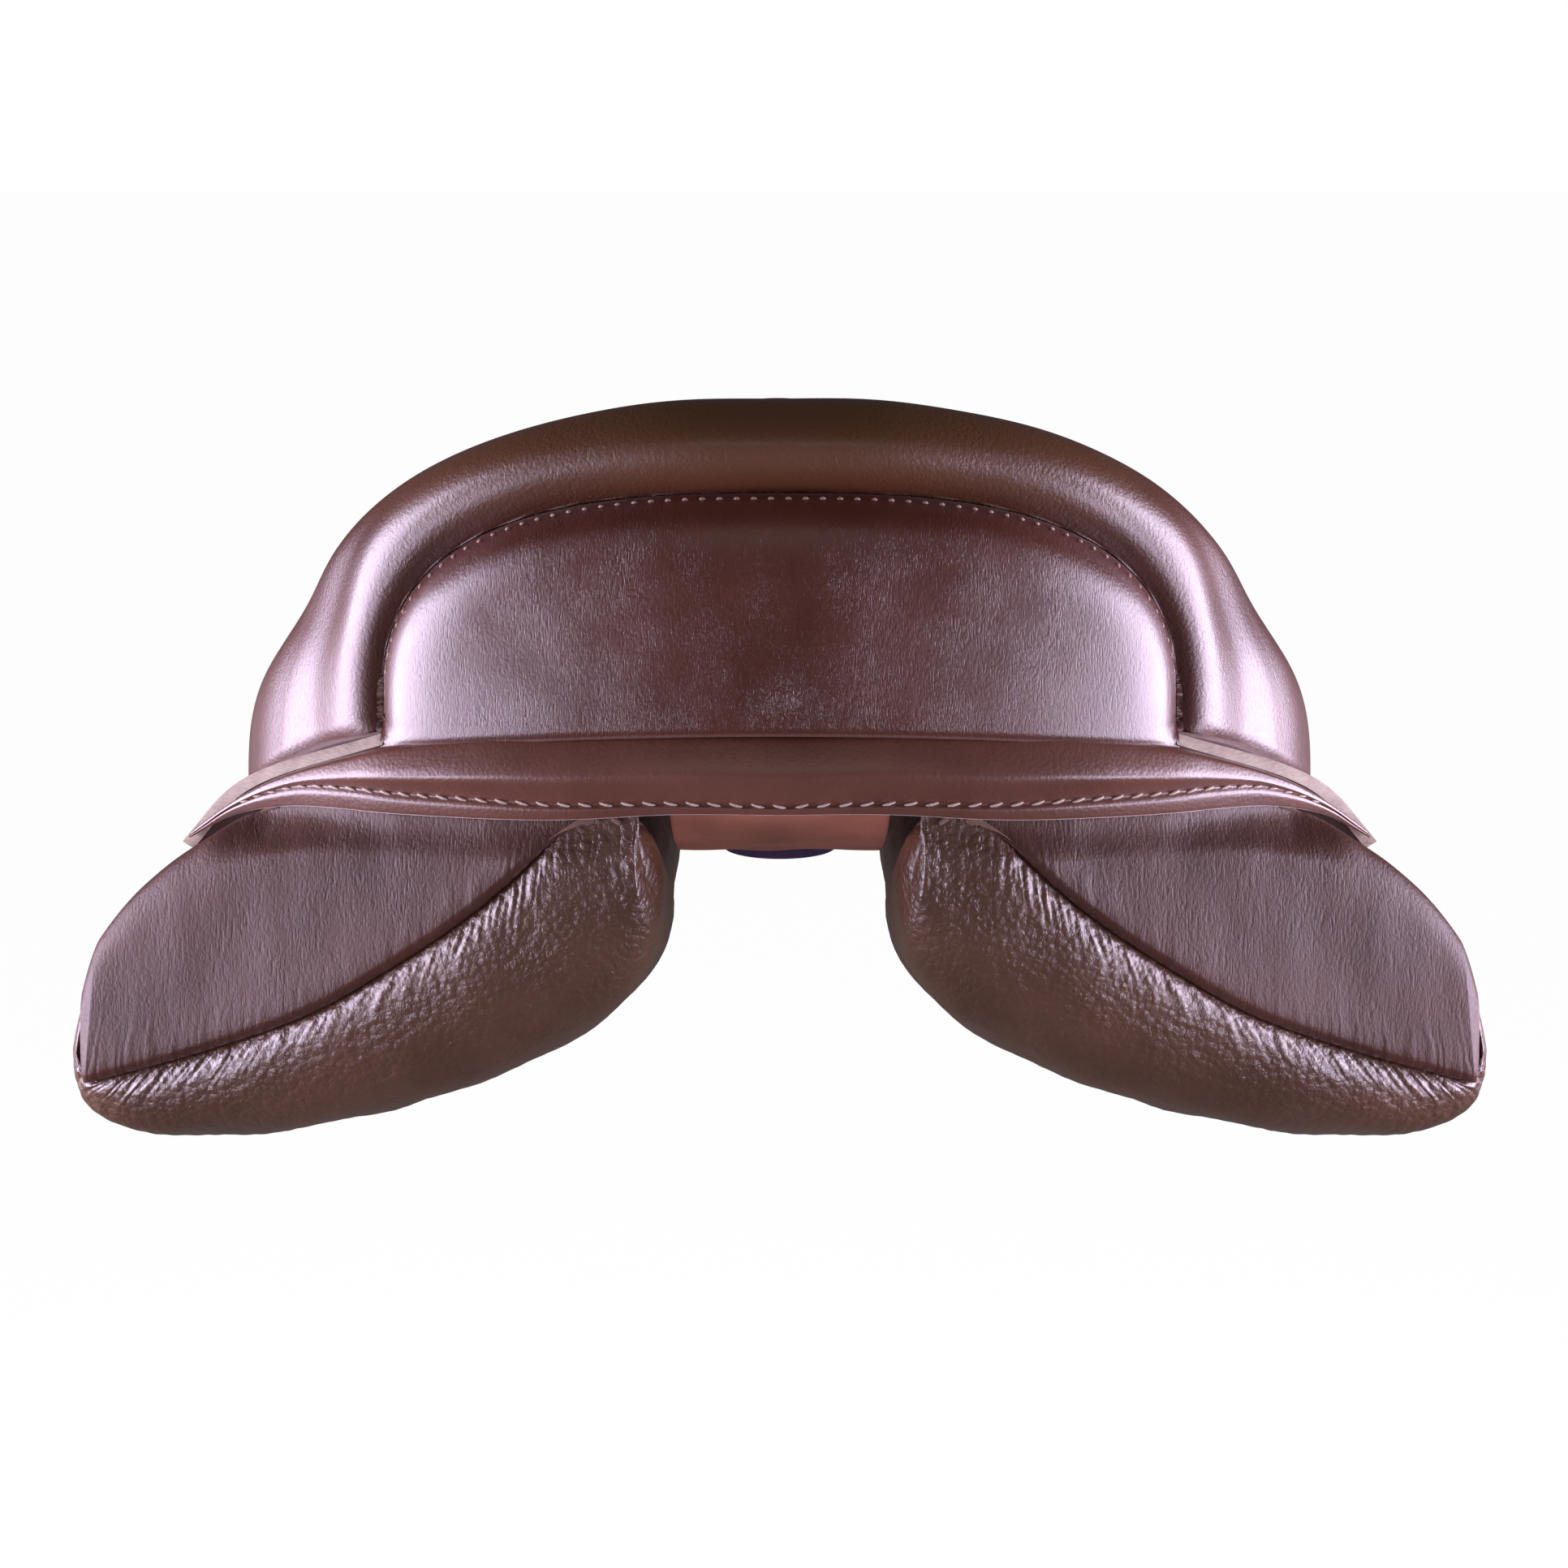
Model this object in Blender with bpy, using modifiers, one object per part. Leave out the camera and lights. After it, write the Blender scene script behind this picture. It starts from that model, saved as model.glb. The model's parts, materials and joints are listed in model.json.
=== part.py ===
# Close contact saddle, an assembly of leather, wood, steel and stuffed parts.
# +X is the horse's right, +Y runs forward to the pommel, +Z is up. The origin is the top of the
# horse's spine, midway along the saddle, in the channel between the panels. Metres.
import math

import bmesh
import bpy
import numpy as np
from mathutils import Matrix, Vector

# Gap between pieces that touch
gap = 0.0003

# Leather, wood, web and steel thicknesses
cover_thickness = 0.0026
flap_thickness = 0.0040
sweat_thickness = 0.0026
skirt_thickness = 0.0022
lining_thickness = 0.0024
strap_thickness = 0.0032
keeper_thickness = 0.0018
gusset_thickness = 0.0016
web_thickness = 0.0016
tree_thickness = 0.0110
plate_thickness = 0.0022

# Seat: one line for each cross section, from the pommel to the cantle seam.
# Each holds y at the centre, y at the edge, half width, edge height, crown height, squareness.
seat_sections = [
    (0.203, 0.184, 0.048, 0.108, 0.128, 2.0),
    (0.197, 0.180, 0.057, 0.105, 0.142, 2.0),
    (0.172, 0.162, 0.066, 0.101, 0.147, 2.0),
    (0.128, 0.122, 0.076, 0.095, 0.139, 2.0),
    (0.078, 0.076, 0.092, 0.087, 0.122, 2.0),
    (0.020, 0.020, 0.113, 0.077, 0.106, 2.1),
    (-0.040, -0.038, 0.137, 0.067, 0.098, 2.4),
    (-0.100, -0.095, 0.160, 0.059, 0.105, 2.8),
    (-0.150, -0.138, 0.168, 0.059, 0.127, 3.0),
    (-0.190, -0.166, 0.162, 0.067, 0.158, 2.8),
    (-0.217, -0.184, 0.151, 0.0765, 0.180, 2.5),
    (-0.235, -0.198, 0.139, 0.0845, 0.1875, 2.4),
    (-0.249, -0.213, 0.127, 0.0905, 0.178, 2.7),
    (-0.2475, -0.221, 0.1145, 0.094, 0.163, 3.0),
]
seat_rows = 22
seat_columns = 18
foam_lift = 0.0040
floor_lift = 0.0062
foam_edge = 0.0015
foam_rear = 6
foam_front = 19
foam_columns = 17

# Cantle facing and rear band
facing_thickness = 0.0050
facing_margin = 0.0012
facing_bulge = 0.0040
facing_low = 0.0980
facing_corner_drop = 0.0105
band_thickness = 0.0060
band_bulge = 0.0030
# Half width, place along the saddle, lower edge and height of the band
band_line = [
    (0.000, -0.2490, 0.0750, 0.0226),
    (0.060, -0.2450, 0.0710, 0.0237),
    (0.110, -0.2310, 0.0690, 0.0175),
    (0.148, -0.2120, 0.0660, 0.0060),
    (0.160, -0.2060, 0.0625, 0.0035),
]

# Tree: the head is an arch, given by its outer face
arch_line = [(0.000, 0.0985), (0.030, 0.0920), (0.058, 0.0680), (0.105, 0.0050), (0.140, -0.0550)]
arch_rear = 0.1380
arch_front = 0.1680
head_facing_thickness = 0.0022
head_facing_reach = 0.85
pommel_facing_turn = math.radians(62.0)
pommel_facing_drop = 0.0015
pommel_facing_half = 0.0500
pommel_facing_rise = 0.0030
pommel_facing_hollow = 0.0040
board_margin = 0.0120
board_rise = 0.0020
rail_line = [(0.046, 0.1374, 0.0730), (0.066, 0.0700, 0.0640), (0.086, -0.0300, 0.0580),
             (0.104, -0.1200, 0.0550), (0.086, -0.2230, 0.0885)]
rail_steps = 13
rail_width = 0.0340
rail_tilt = math.radians(16.0)
spring_width = 0.0200
spring_thickness = 0.0014

# Webs
seat_web_width = 0.0700
web_end = (-0.2268, 0.1030)
cross_web_width = 0.0320
# Path of a cross web past the rail, from the rail's outer top edge: outward and up
web_past_rail = [(-0.0327, 0.0130), (-0.0058, 0.0063), (0.0030, 0.0005), (0.0050, -0.0150)]
web_flat_half = 0.0250
# Inner edge of the flap's fixed head, along the rail
flap_head_inner = [(0.0645, 0.184, 0.0780), (0.067, 0.163, 0.0770), (0.0745, 0.147, 0.0520),
                   (0.079, 0.122, 0.0515), (0.0885, 0.070, 0.0500),
                   (0.1010, 0.020, 0.0500), (0.1130, -0.030, 0.0490), (0.1270, -0.120, 0.0480),
                   (0.1240, -0.190, 0.0640), (0.1130, -0.2225, 0.0885)]

# Shoulder line of the flap, in plan, and the plane that splays down from it
shoulder_rear = (0.181, -0.182, 0.0490)
shoulder_front = (0.116, 0.190, 0.0490)
flap_splay = math.radians(30.0)
cup_start = 0.0600
cup_rate = 0.30

# Flap outlines, as places along the shoulder line and down the flap
hinge_slope = 0.15
flap_head_rise = 0.0015
flap_head_ramp = 0.0290
flap_head_rear_rise = 0.0112
flap_head_least = 0.0050
flap_rear_edge = [(0.052, 0.0078), (0.070, 0.035), (0.105, 0.085), (0.165, 0.140), (0.235, 0.190),
                  (0.300, 0.230), (0.335, 0.243)]
flap_front_edge = [(0.374, 0.0561), (0.392, 0.085), (0.402, 0.125), (0.400, 0.165),
                   (0.390, 0.205), (0.374, 0.234), (0.355, 0.243)]
sweat_offset = 0.0125
sweat_rear_edge = [(0.085, 0.004), (0.096, 0.040), (0.120, 0.085), (0.165, 0.125), (0.200, 0.150)]
sweat_front_edge = [(0.262, 0.004), (0.274, 0.040), (0.278, 0.085), (0.268, 0.130), (0.245, 0.150)]

# Girth straps and their keeper
strap_width = 0.0250
strap_length = 0.1350
strap_top = 0.0120
strap_overlap = 0.0180
strap_places = (0.179, 0.219)
keeper_place = 0.0850
keeper_width = 0.0160
keeper_half = 0.0490
keeper_foot = 0.0100
keeper_step = 0.0050
keeper_bend = 0.0020

# Knee block on the inner face of the flap
block_line = [(0.318, 0.078), (0.330, 0.105), (0.337, 0.135), (0.337, 0.165), (0.330, 0.190)]
block_width = 0.0360
block_height = 0.0200

# Skirt
skirt_axis_rear = (0.1403, -0.0450, 0.0600)
skirt_axis_front = (0.0768, 0.1220, 0.0905)
skirt_length = 0.0635
skirt_start = math.radians(15.0)
skirt_turn = math.radians(42.0)
skirt_squareness = 2.4
skirt_rear_round = 0.9
skirt_least = 0.0060

# Stirrup bar, in its own frame: along the bar, outward, up
bar_place = 0.0945
bar_drop = 0.0035
bar_turn = math.radians(16.5)
bar_length = 0.0880
bar_plate_height = 0.0150
bar_plate_thickness = 0.0030
bar_slot = 0.0105
bar_rod_width = 0.0060
bar_rod_height = 0.0075
catch_length = 0.0170
catch_width = 0.0028
catch_heel = 0.0029
catch_half_height = 0.0030
bar_pin_place = 0.0040
pin_radius = 0.0012

# Dee ring
dee_place = (0.0735, 0.1500, 0.0965)
dee_turn = math.radians(14.0)
dee_width = 0.0240
dee_height = 0.0190
dee_wire = 0.0015
chape_thickness = 0.0016
chape_width = 0.0140
chape_bore = 0.0021
chape_tail = (-0.0070, 0.0125)

# Nail
nail_radius = 0.0055
nail_height = 0.0030
nail_spot = (17, 15)

# Panels
panel_ring_points = 24
panel_rounding = 2.6
gusset_rings = 5
gusset_inner_end = 9
gusset_lift = 0.0012
panel_clearance = 0.0005
channel_half = 0.0270

# Gullet lining and its patch
lining_half = 0.0320
lining_line = [(0.0760, -0.2405), (0.0540, -0.2000), (0.0400, -0.1600), (0.0330, -0.1300),
               (0.0310, -0.0900), (0.0340, -0.0300), (0.0430, 0.0400), (0.0555, 0.1000),
               (0.0665, 0.1600), (0.0700, 0.1900)]
patch_half = 0.0180
patch_depth = 0.0042
patch_place = -0.1300
patch_thickness = 0.0012


def clear_scene():
    for thing in list(bpy.data.objects):
        bpy.data.objects.remove(thing, do_unlink=True)


def make_material(name, colour, roughness, metallic=0.0):
    material = bpy.data.materials.new(name)
    material.use_nodes = True
    shader = material.node_tree.nodes["Principled BSDF"]
    shader.inputs["Base Color"].default_value = (*colour, 1.0)
    shader.inputs["Roughness"].default_value = roughness
    shader.inputs["Metallic"].default_value = metallic
    return material


def add_object(name, mesh, material):
    thing = bpy.data.objects.new(name, mesh)
    bpy.data.collections["close_contact_saddle"].objects.link(thing)
    mesh.materials.append(material)
    return thing


def side_name(base, side):
    return base + ("_right" if side > 0 else "_left")


def through(points, count):
    """Evenly stepped points on a smooth curve through the given ones."""
    points = np.array(points, dtype=float)
    padded = np.vstack([2 * points[0] - points[1], points, 2 * points[-1] - points[-2]])
    spans = len(points) - 1
    result = []
    for place in np.linspace(0, spans, count):
        i = min(int(place), spans - 1)
        t = place - i
        a, b, c, d = padded[i:i + 4]
        result.append(0.5 * (2 * b + (c - a) * t + (2 * a - 5 * b + 4 * c - d) * t ** 2
                             + (3 * b - a - 3 * c + d) * t ** 3))
    return np.array(result)


def grid_normals(rows):
    """Unit normals of a grid of points."""
    across = np.gradient(rows, axis=1)
    along = np.gradient(rows, axis=0)
    normals = np.cross(across, along)
    return normals / np.linalg.norm(normals, axis=2, keepdims=True)


def add_grid(shape, rows, closed=False):
    """Faces between rows of points; closed joins each row's ends."""
    verts = [[shape.verts.new(point) for point in row] for row in rows]
    count = len(verts[0])
    for low, high in zip(verts, verts[1:]):
        for i in range(count if closed else count - 1):
            j = (i + 1) % count
            shape.faces.new((low[i], low[j], high[j], high[i]))
    return verts


def finish_mesh(name, shape, material, side):
    """Object from a bmesh, mirrored to the left for side -1."""
    if side < 0:
        bmesh.ops.transform(shape, matrix=Matrix.Diagonal((-1, 1, 1, 1)), verts=shape.verts)
        bmesh.ops.reverse_faces(shape, faces=shape.faces)
    mesh = bpy.data.meshes.new(name)
    shape.to_mesh(mesh)
    shape.free()
    mesh.shade_smooth()
    return add_object(name, mesh, material)


def sheet(name, rows, thickness, material, side=1):
    """Sheet of even thickness that lies under the grid of its outer face."""
    shape = bmesh.new()
    add_grid(shape, rows)
    thing = finish_mesh(name, shape, material, side)
    shell = thing.modifiers.new("thickness", "SOLIDIFY")
    shell.thickness = thickness
    shell.offset = -1.0
    shell.use_even_offset = True
    return thing


def loft(name, rings, material, side=1):
    """Closed body through rings of points, its ends closed by fans."""
    shape = bmesh.new()
    verts = add_grid(shape, rings, closed=True)
    for ring in (verts[0], verts[-1]):
        middle = shape.verts.new(sum((v.co for v in ring), Vector()) / len(ring))
        for i in range(len(ring)):
            shape.faces.new((ring[i], ring[(i + 1) % len(ring)], middle))
    bmesh.ops.recalc_face_normals(shape, faces=shape.faces)
    return finish_mesh(name, shape, material, side)


def tube(name, points, radius, material, side=1, closed=False):
    """Round cord or wire along points."""
    curve = bpy.data.curves.new(name, "CURVE")
    curve.dimensions = "3D"
    curve.bevel_depth = radius
    curve.bevel_resolution = 2
    curve.use_fill_caps = True
    spline = curve.splines.new("POLY")
    spline.points.add(len(points) - 1)
    for target, point in zip(spline.points, points):
        target.co = (point[0] * side, point[1], point[2], 1.0)
    spline.use_cyclic_u = closed
    return add_object(name, curve, material)


def crown(t, squareness):
    """Height from 0 at the edges to 1 in the middle, for t from -1 to 1."""
    return (1.0 - abs(t) ** squareness) ** (1.0 / squareness)


# Seat

def seat_row(section):
    """Points of one seat section, from the left edge to the right."""
    y_centre, y_edge, half_width, edge_z, crown_z, squareness = section
    row = []
    for angle in np.linspace(-math.pi / 2, math.pi / 2, seat_columns + 1):
        t = math.sin(angle)
        row.append((half_width * t, y_centre + (y_edge - y_centre) * t * t,
                    edge_z + (crown_z - edge_z) * crown(t, squareness)))
    return row


def seat_grid():
    """Outer face of the seat, from the cantle seam to the pommel."""
    return np.array([seat_row(section) for section in through(seat_sections, seat_rows)[::-1]])


def seat_edge(y):
    """Half width and height of the seat's lower edge at a place along it."""
    edge = sorted((s[1], s[2], s[3]) for s in seat_sections)
    places = [e[0] for e in edge]
    return np.interp(y, places, [e[1] for e in edge]), np.interp(y, places, [e[2] for e in edge])


def seat_floor(y):
    """Height of the foam's flat underside, over the seat's edge and the web on the rails."""
    rail_top = rail_edge(y)[1] + rail_width * math.sin(rail_tilt)
    return max(seat_edge(y)[1] + foam_lift, rail_top + floor_lift)


def seat_cover(leather):
    sheet("seat_cover", seat_grid(), cover_thickness, leather)


def seat_foam(foam):
    """Foam under the cover, flat below, from the pommel to the foot of the cantle."""
    rows = seat_grid()
    inner = rows - grid_normals(rows) * (cover_thickness + 3 * gap)
    rings = []
    for row, ring in zip(rows[foam_rear:foam_front], inner[foam_rear:foam_front]):
        y_base = row[0][1]
        low = seat_floor(y_base)
        half = ring[seat_columns // 2:]
        reach = np.interp(-low - foam_edge, -half[:, 2], half[:, 0])
        top = []
        for angle in np.linspace(-math.pi / 2, math.pi / 2, foam_columns):
            x = reach * math.sin(angle)
            top.append([np.interp(x, ring[:, 0], ring[:, k]) for k in range(3)])
        base = [(x, y_base, low) for x in np.linspace(reach, -reach, 8)]
        rings.append(np.vstack([top, base]))
    loft("seat_foam", rings, foam)


def seat_welt(side, leather):
    """Piping along the seat's lower edge."""
    rows = seat_grid()
    radius = skirt_thickness
    line = [(row[-1][0] - radius, row[-1][1], row[-1][2] - radius - 4 * gap) for row in rows[1:]]
    tube(side_name("seat_welt", side), line, radius, leather, side)


# Cantle

def facing_grid(inset, bulge, low_z, rows=7):
    """Grid from the straight lower edge of the facing up to the cantle seam."""
    y_centre, y_edge, half_width, edge_z, crown_z, squareness = seat_sections[-1]
    top = np.array(seat_row((y_centre, y_edge, half_width - inset, edge_z - gap,
                             crown_z - inset, squareness)))
    t = top[:, 0] / (half_width - inset)
    low = np.column_stack([top[:, 0], top[:, 1], low_z - facing_corner_drop * t ** 2])
    grid = []
    for share in np.linspace(0, 1, rows):
        row = low * (1 - share) + top * share
        row[:, 1] -= bulge * math.sin(math.pi * share) * (1 - t ** 4)
        grid.append(row)
    return np.array(grid)


def cantle_facing(leather):
    sheet("cantle_facing", facing_grid(facing_margin, facing_bulge, facing_low),
          facing_thickness, leather)


def tree_cantle(wood):
    """Board behind the facing, under the cantle roll."""
    rows = facing_grid(board_margin, 0.0, facing_low + board_rise)
    rows[:, :, 1] += facing_thickness + 2 * gap
    sheet("tree_cantle", rows, tree_thickness, wood)


def rear_band(leather):
    """Padded strip that joins the two panels under the facing."""
    half = through(band_line, 13)
    line = np.vstack([half[:0:-1] * np.array([-1, 1, 1, 1]), half])
    rows = []
    for share in np.linspace(0, 1, 6):
        bulge = band_bulge * math.sin(math.pi * share)
        rows.append([(x, y - bulge, low + height * share) for x, y, low, height in line])
    sheet("rear_band", rows, band_thickness, leather)


# Tree

def arch_points(depth, count, reach=1.0):
    """Right half of the head's arch, its outer face moved inward by depth."""
    points = through(arch_line, 41)
    tangent = np.gradient(points, axis=0)
    tangent[0] = (1.0, 0.0)
    tangent /= np.linalg.norm(tangent, axis=1, keepdims=True)
    moved = points + np.column_stack([tangent[:, 1], -tangent[:, 0]]) * depth
    wanted = np.linspace(0, reach * (len(moved) - 1), count)
    return np.array([moved[int(round(i))] for i in wanted])


def arch_strip(name, depth, thickness, y_rear, y_front, reach, material):
    """Strip of the whole arch between two places along the saddle."""
    half = arch_points(depth, 13, reach)
    line = np.vstack([half[:0:-1] * np.array([-1, 1]), half])
    rows = [[(x, y, z) for x, z in line] for y in (y_rear, y_front)]
    sheet(name, rows, thickness, material)


def tree_head(wood, steel):
    arch_strip("tree_head", 0.0, tree_thickness, arch_rear, arch_front, 1.0, wood)
    arch_strip("gullet_plate", tree_thickness + gap, plate_thickness, arch_rear + 0.004,
               arch_front - 0.004, 0.7, steel)


def head_plate(steel):
    """Steel arch on the front face of the head."""
    outer = arch_points(0.002, 13, 0.8)
    inner = arch_points(tree_thickness - 0.002, 13, 0.8)
    rows = []
    for half in (inner, outer):
        line = np.vstack([half[:0:-1] * np.array([-1, 1]), half])
        rows.append([(x, arch_front + gap + plate_thickness, z) for x, z in line[::-1]])
    sheet("head_plate", rows, plate_thickness, steel)


def head_facing(leather):
    """Leather strip over the steel arch, down to the points."""
    inner = arch_points(tree_thickness, 13, head_facing_reach)
    outer = arch_points(0.0, 13, head_facing_reach)
    front = arch_front + plate_thickness + 2 * gap + head_facing_thickness
    rows = []
    for half in (inner, outer):
        line = np.vstack([half[:0:-1] * np.array([-1, 1]), half])
        rows.append([(x, front, z) for x, z in line[::-1]])
    sheet("head_facing", rows, head_facing_thickness, leather)


def pommel_facing(leather):
    """Leather under the pommel, from the seat's front edge down to the head."""
    front = seat_row(seat_sections[0])
    rows = []
    for share in np.linspace(0, 1, 4):
        row = []
        for angle in np.linspace(-pommel_facing_turn, pommel_facing_turn, 13):
            t = math.sin(angle)
            x, y, z = [np.interp(t, np.array(front)[:, 0] / front[-1][0], np.array(front)[:, k])
                       for k in range(3)]
            top = np.array([x, y - cover_thickness - 2 * gap, z - pommel_facing_drop])
            low_x = t * pommel_facing_half
            arch = arch_points(-pommel_facing_rise, 41)
            low = np.array([low_x, arch_front, np.interp(abs(low_x), arch[:, 0], arch[:, 1])])
            hollow = pommel_facing_hollow * math.sin(math.pi * share)
            row.append(top * share + low * (1 - share) - np.array([0.0, hollow, 0.0]))
        rows.append(row)
    sheet("pommel_facing", [row[::-1] for row in rows], head_facing_thickness, leather)


def rail_rows(width, lift):
    """Grid along a rail, its top face moved by lift."""
    line = through(rail_line, rail_steps)
    across = np.array([math.cos(rail_tilt), 0.0, -math.sin(rail_tilt)])
    up = np.array([math.sin(rail_tilt), 0.0, math.cos(rail_tilt)])
    return [[point + across * offset + up * lift for offset in (-width / 2, 0.0, width / 2)]
            for point in line[::-1]]


def rail_edge(y):
    """Half width and height of the rail's outer top edge at a place along it."""
    line = through(rail_line, rail_steps)[::-1]
    reach = rail_width / 2
    return (np.interp(y, line[:, 1], line[:, 0]) + reach * math.cos(rail_tilt),
            np.interp(y, line[:, 1], line[:, 2]) - reach * math.sin(rail_tilt))


def tree_rail(side, wood, steel):
    sheet(side_name("tree_rail", side), rail_rows(rail_width, 0.0), tree_thickness, wood, side)
    sheet(side_name("spring_steel", side), rail_rows(spring_width, spring_thickness + gap),
          spring_thickness, steel, side)


# Webs

def seat_web(web):
    """Web from the head to the cantle board, under the foam."""
    rows = []
    line = [(y, seat_floor(y) - gap) for y in seat_grid()[foam_rear - 2:foam_front - 1, 0, 1]]
    for y, z in [web_end] + line:
        rows.append([(x, y, z) for x in np.linspace(-seat_web_width / 2, seat_web_width / 2, 3)])
    sheet("seat_web", rows, web_thickness, web)


def cross_web(name, place, web):
    """Web over both rails, whose ends hold the girth straps."""
    depth = sweat_offset - gap - web_thickness
    rows = []
    for offset in np.linspace(-cross_web_width / 2, cross_web_width / 2, 3):
        y = shoulder_point(place, 0.0, 0.0)[1] + offset
        z = seat_floor(y) - web_thickness - 3 * gap
        rail_x, rail_z = rail_edge(y)
        past = [(rail_x + out, y, rail_z + rise) for out, rise in web_past_rail]
        half = [(0.0, y, z), (web_flat_half, y, z), *past,
                shoulder_point(place + offset, 0.0, depth),
                shoulder_point(place + offset, strap_top + strap_overlap, depth)]
        rows.append([(-x, y, z) for x, y, z in half[:0:-1]] + half)
    sheet(name, rows, web_thickness, web)


# Flap plane

def flap_frame():
    """Axis along the shoulder line, direction down the flap and outward normal, right side."""
    rear, front = np.array(shoulder_rear), np.array(shoulder_front)
    along = (front - rear) / np.linalg.norm(front - rear)
    outward = np.array([along[1], -along[0], 0.0])
    up = np.array([0.0, 0.0, 1.0])
    down = outward * math.sin(flap_splay) - up * math.cos(flap_splay)
    normal = outward * math.cos(flap_splay) + up * math.sin(flap_splay)
    return along, down, normal


def cup(drop):
    """How far the flap bends towards the horse below its top."""
    return cup_rate * max(0.0, drop - cup_start) ** 2


def shoulder_point(place, drop, depth):
    """Point at a place along the shoulder line, down the flap and inward from its outer face."""
    along, down, normal = flap_frame()
    return (np.array(shoulder_rear) + along * place + down * drop
            - normal * (depth + cup(drop)))


def skin_x(y, z, depth):
    """Half width, at a place and height, of a surface that lies inward of the flap."""
    along, down, normal = flap_frame()
    drop = (shoulder_rear[2] - z) / math.cos(flap_splay)
    reach = normal[1] * (y - shoulder_rear[1]) + normal[2] * (z - shoulder_rear[2])
    return shoulder_rear[0] - (depth + cup(drop) + reach) / normal[0]


def outline_rows(rear_edge, front_edge, depth, rows, columns):
    """Grid of a leather sheet in the flap's plane, between its rear and front edges."""
    grid = []
    for rear, front in zip(through(rear_edge, rows), through(front_edge, rows)):
        grid.append([shoulder_point(place, drop, depth)
                     for place, drop in np.linspace(rear, front, columns)])
    return grid[::-1]


def hinge_drop(place):
    """How far down the flap its bend lies."""
    return hinge_slope * place


def flap(side, leather):
    """Free part of the flap, which lifts about the bend under the skirt."""
    thing = sheet(side_name("flap", side),
                  outline_rows(flap_rear_edge, flap_front_edge, 0.0, 15, 8),
                  flap_thickness, leather, side)
    set_origin(thing, shoulder_point(flap_rear_edge[0][0], flap_rear_edge[0][1], 0.0), side)


def flap_head(side, leather):
    """Fixed top of the flap, nailed to the rail, down to the bend."""
    count = 14
    inner_line = through(flap_head_inner, count)
    rows = []
    for inner, place in zip(inner_line, np.linspace(flap_front_edge[0][0], 0.0, count)):
        shoulder = shoulder_point(place, 0.0, 0.0)
        rise = np.interp(place, [0.0, flap_head_ramp], [flap_head_rear_rise, flap_head_rise])
        middle = inner / 3 + shoulder * 2 / 3 + np.array([0.0, 0.0, rise])
        low = shoulder_point(place, max(hinge_drop(place) - 2 * gap, flap_head_least), 0.0)
        rows.append([*through([inner, middle, shoulder], 5), low])
    sheet(side_name("flap_head", side), rows[::-1], flap_thickness, leather, side)


def sweat_flap(side, leather):
    sheet(side_name("sweat_flap", side),
          outline_rows(sweat_rear_edge, sweat_front_edge, sweat_offset, 9, 6),
          sweat_thickness, leather, side)


def girth_strap(name, place, side, leather):
    """Buckle strap that hangs from the web's end, with a pointed tip."""
    half = strap_width / 2
    depth = sweat_offset - web_thickness - strap_thickness - 2 * gap
    widths = [(0.0, half), (0.86, half), (0.95, half * 0.8), (1.0, half * 0.45)]
    rows = []
    for share in (0.0, 0.15, 0.3, 0.45, 0.6, 0.75, 0.86, 0.95, 1.0):
        reach = np.interp(share, [w[0] for w in widths], [w[1] for w in widths])
        drop = strap_top + strap_length * share
        rows.append([shoulder_point(place + offset, drop, depth)
                     for offset in (-reach, 0.0, reach)])
    thing = sheet(side_name(name, side), rows[::-1], strap_thickness, leather, side)
    set_origin(thing, shoulder_point(place, strap_top + strap_overlap / 2, depth), side)


def strap_keeper(side, leather):
    """Leather loop over both girth straps, sewn to the sweat flap at its feet."""
    centre = sum(strap_places) / 2
    high = sweat_offset - web_thickness - strap_thickness - 3 * gap - keeper_thickness
    low = sweat_offset - keeper_thickness - gap
    half = [(keeper_half + keeper_bend - keeper_step, high), (keeper_half + keeper_bend, low),
            (keeper_half + keeper_bend + keeper_foot, low)]
    profile = [(-offset, depth) for offset, depth in half[::-1]] + half
    rows = []
    for drop in (keeper_place + keeper_width / 2, keeper_place, keeper_place - keeper_width / 2):
        rows.append([shoulder_point(centre + offset, drop, depth) for offset, depth in profile])
    sheet(side_name("strap_keeper", side), rows, keeper_thickness, leather, side)


def knee_block(side, leather):
    """Wedge of firm foam in leather, on the inner face of the flap."""
    rings = []
    line = through(block_line, 9)
    for i, (place, drop) in enumerate(line):
        swell = math.sin(math.pi * (0.12 + 0.76 * i / (len(line) - 1)))
        ring = []
        for k in range(12):
            angle = 2 * math.pi * k / 12
            offset = math.cos(angle) * block_width / 2 * (0.55 + 0.45 * swell)
            rise = (0.5 + 0.5 * math.sin(angle)) * block_height * swell
            ring.append(shoulder_point(place + offset, drop, flap_thickness + gap + rise))
        rings.append(ring)
    loft(side_name("knee_block", side), rings, leather, side)


# Skirt

def skirt(side, leather):
    """Small flap over the stirrup bar, hinged under the seat's edge."""
    rear, front = np.array(skirt_axis_rear), np.array(skirt_axis_front)
    along = (front - rear) / np.linalg.norm(front - rear)
    outward = np.array([along[1], -along[0], 0.0])
    outward /= np.linalg.norm(outward)
    columns = []
    for share in np.linspace(0, 1, 12):
        spread = share * (1.0 + skirt_rear_round) - skirt_rear_round
        length = skirt_length * crown(spread, skirt_squareness) + skirt_least
        point = rear + (front - rear) * share
        column = [point]
        steps = 6
        for k in range(steps):
            angle = skirt_start + skirt_turn * length * (k + 0.5) / steps / skirt_length
            step = outward * math.cos(angle) - np.array([0.0, 0.0, math.sin(angle)])
            column.append(column[-1] + step * length / steps)
        columns.append(column)
    rows = np.array(columns)
    thing = sheet(side_name("skirt", side), rows, skirt_thickness, leather, side)
    set_origin(thing, rear, side)


# Placement of moving pieces

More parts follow.
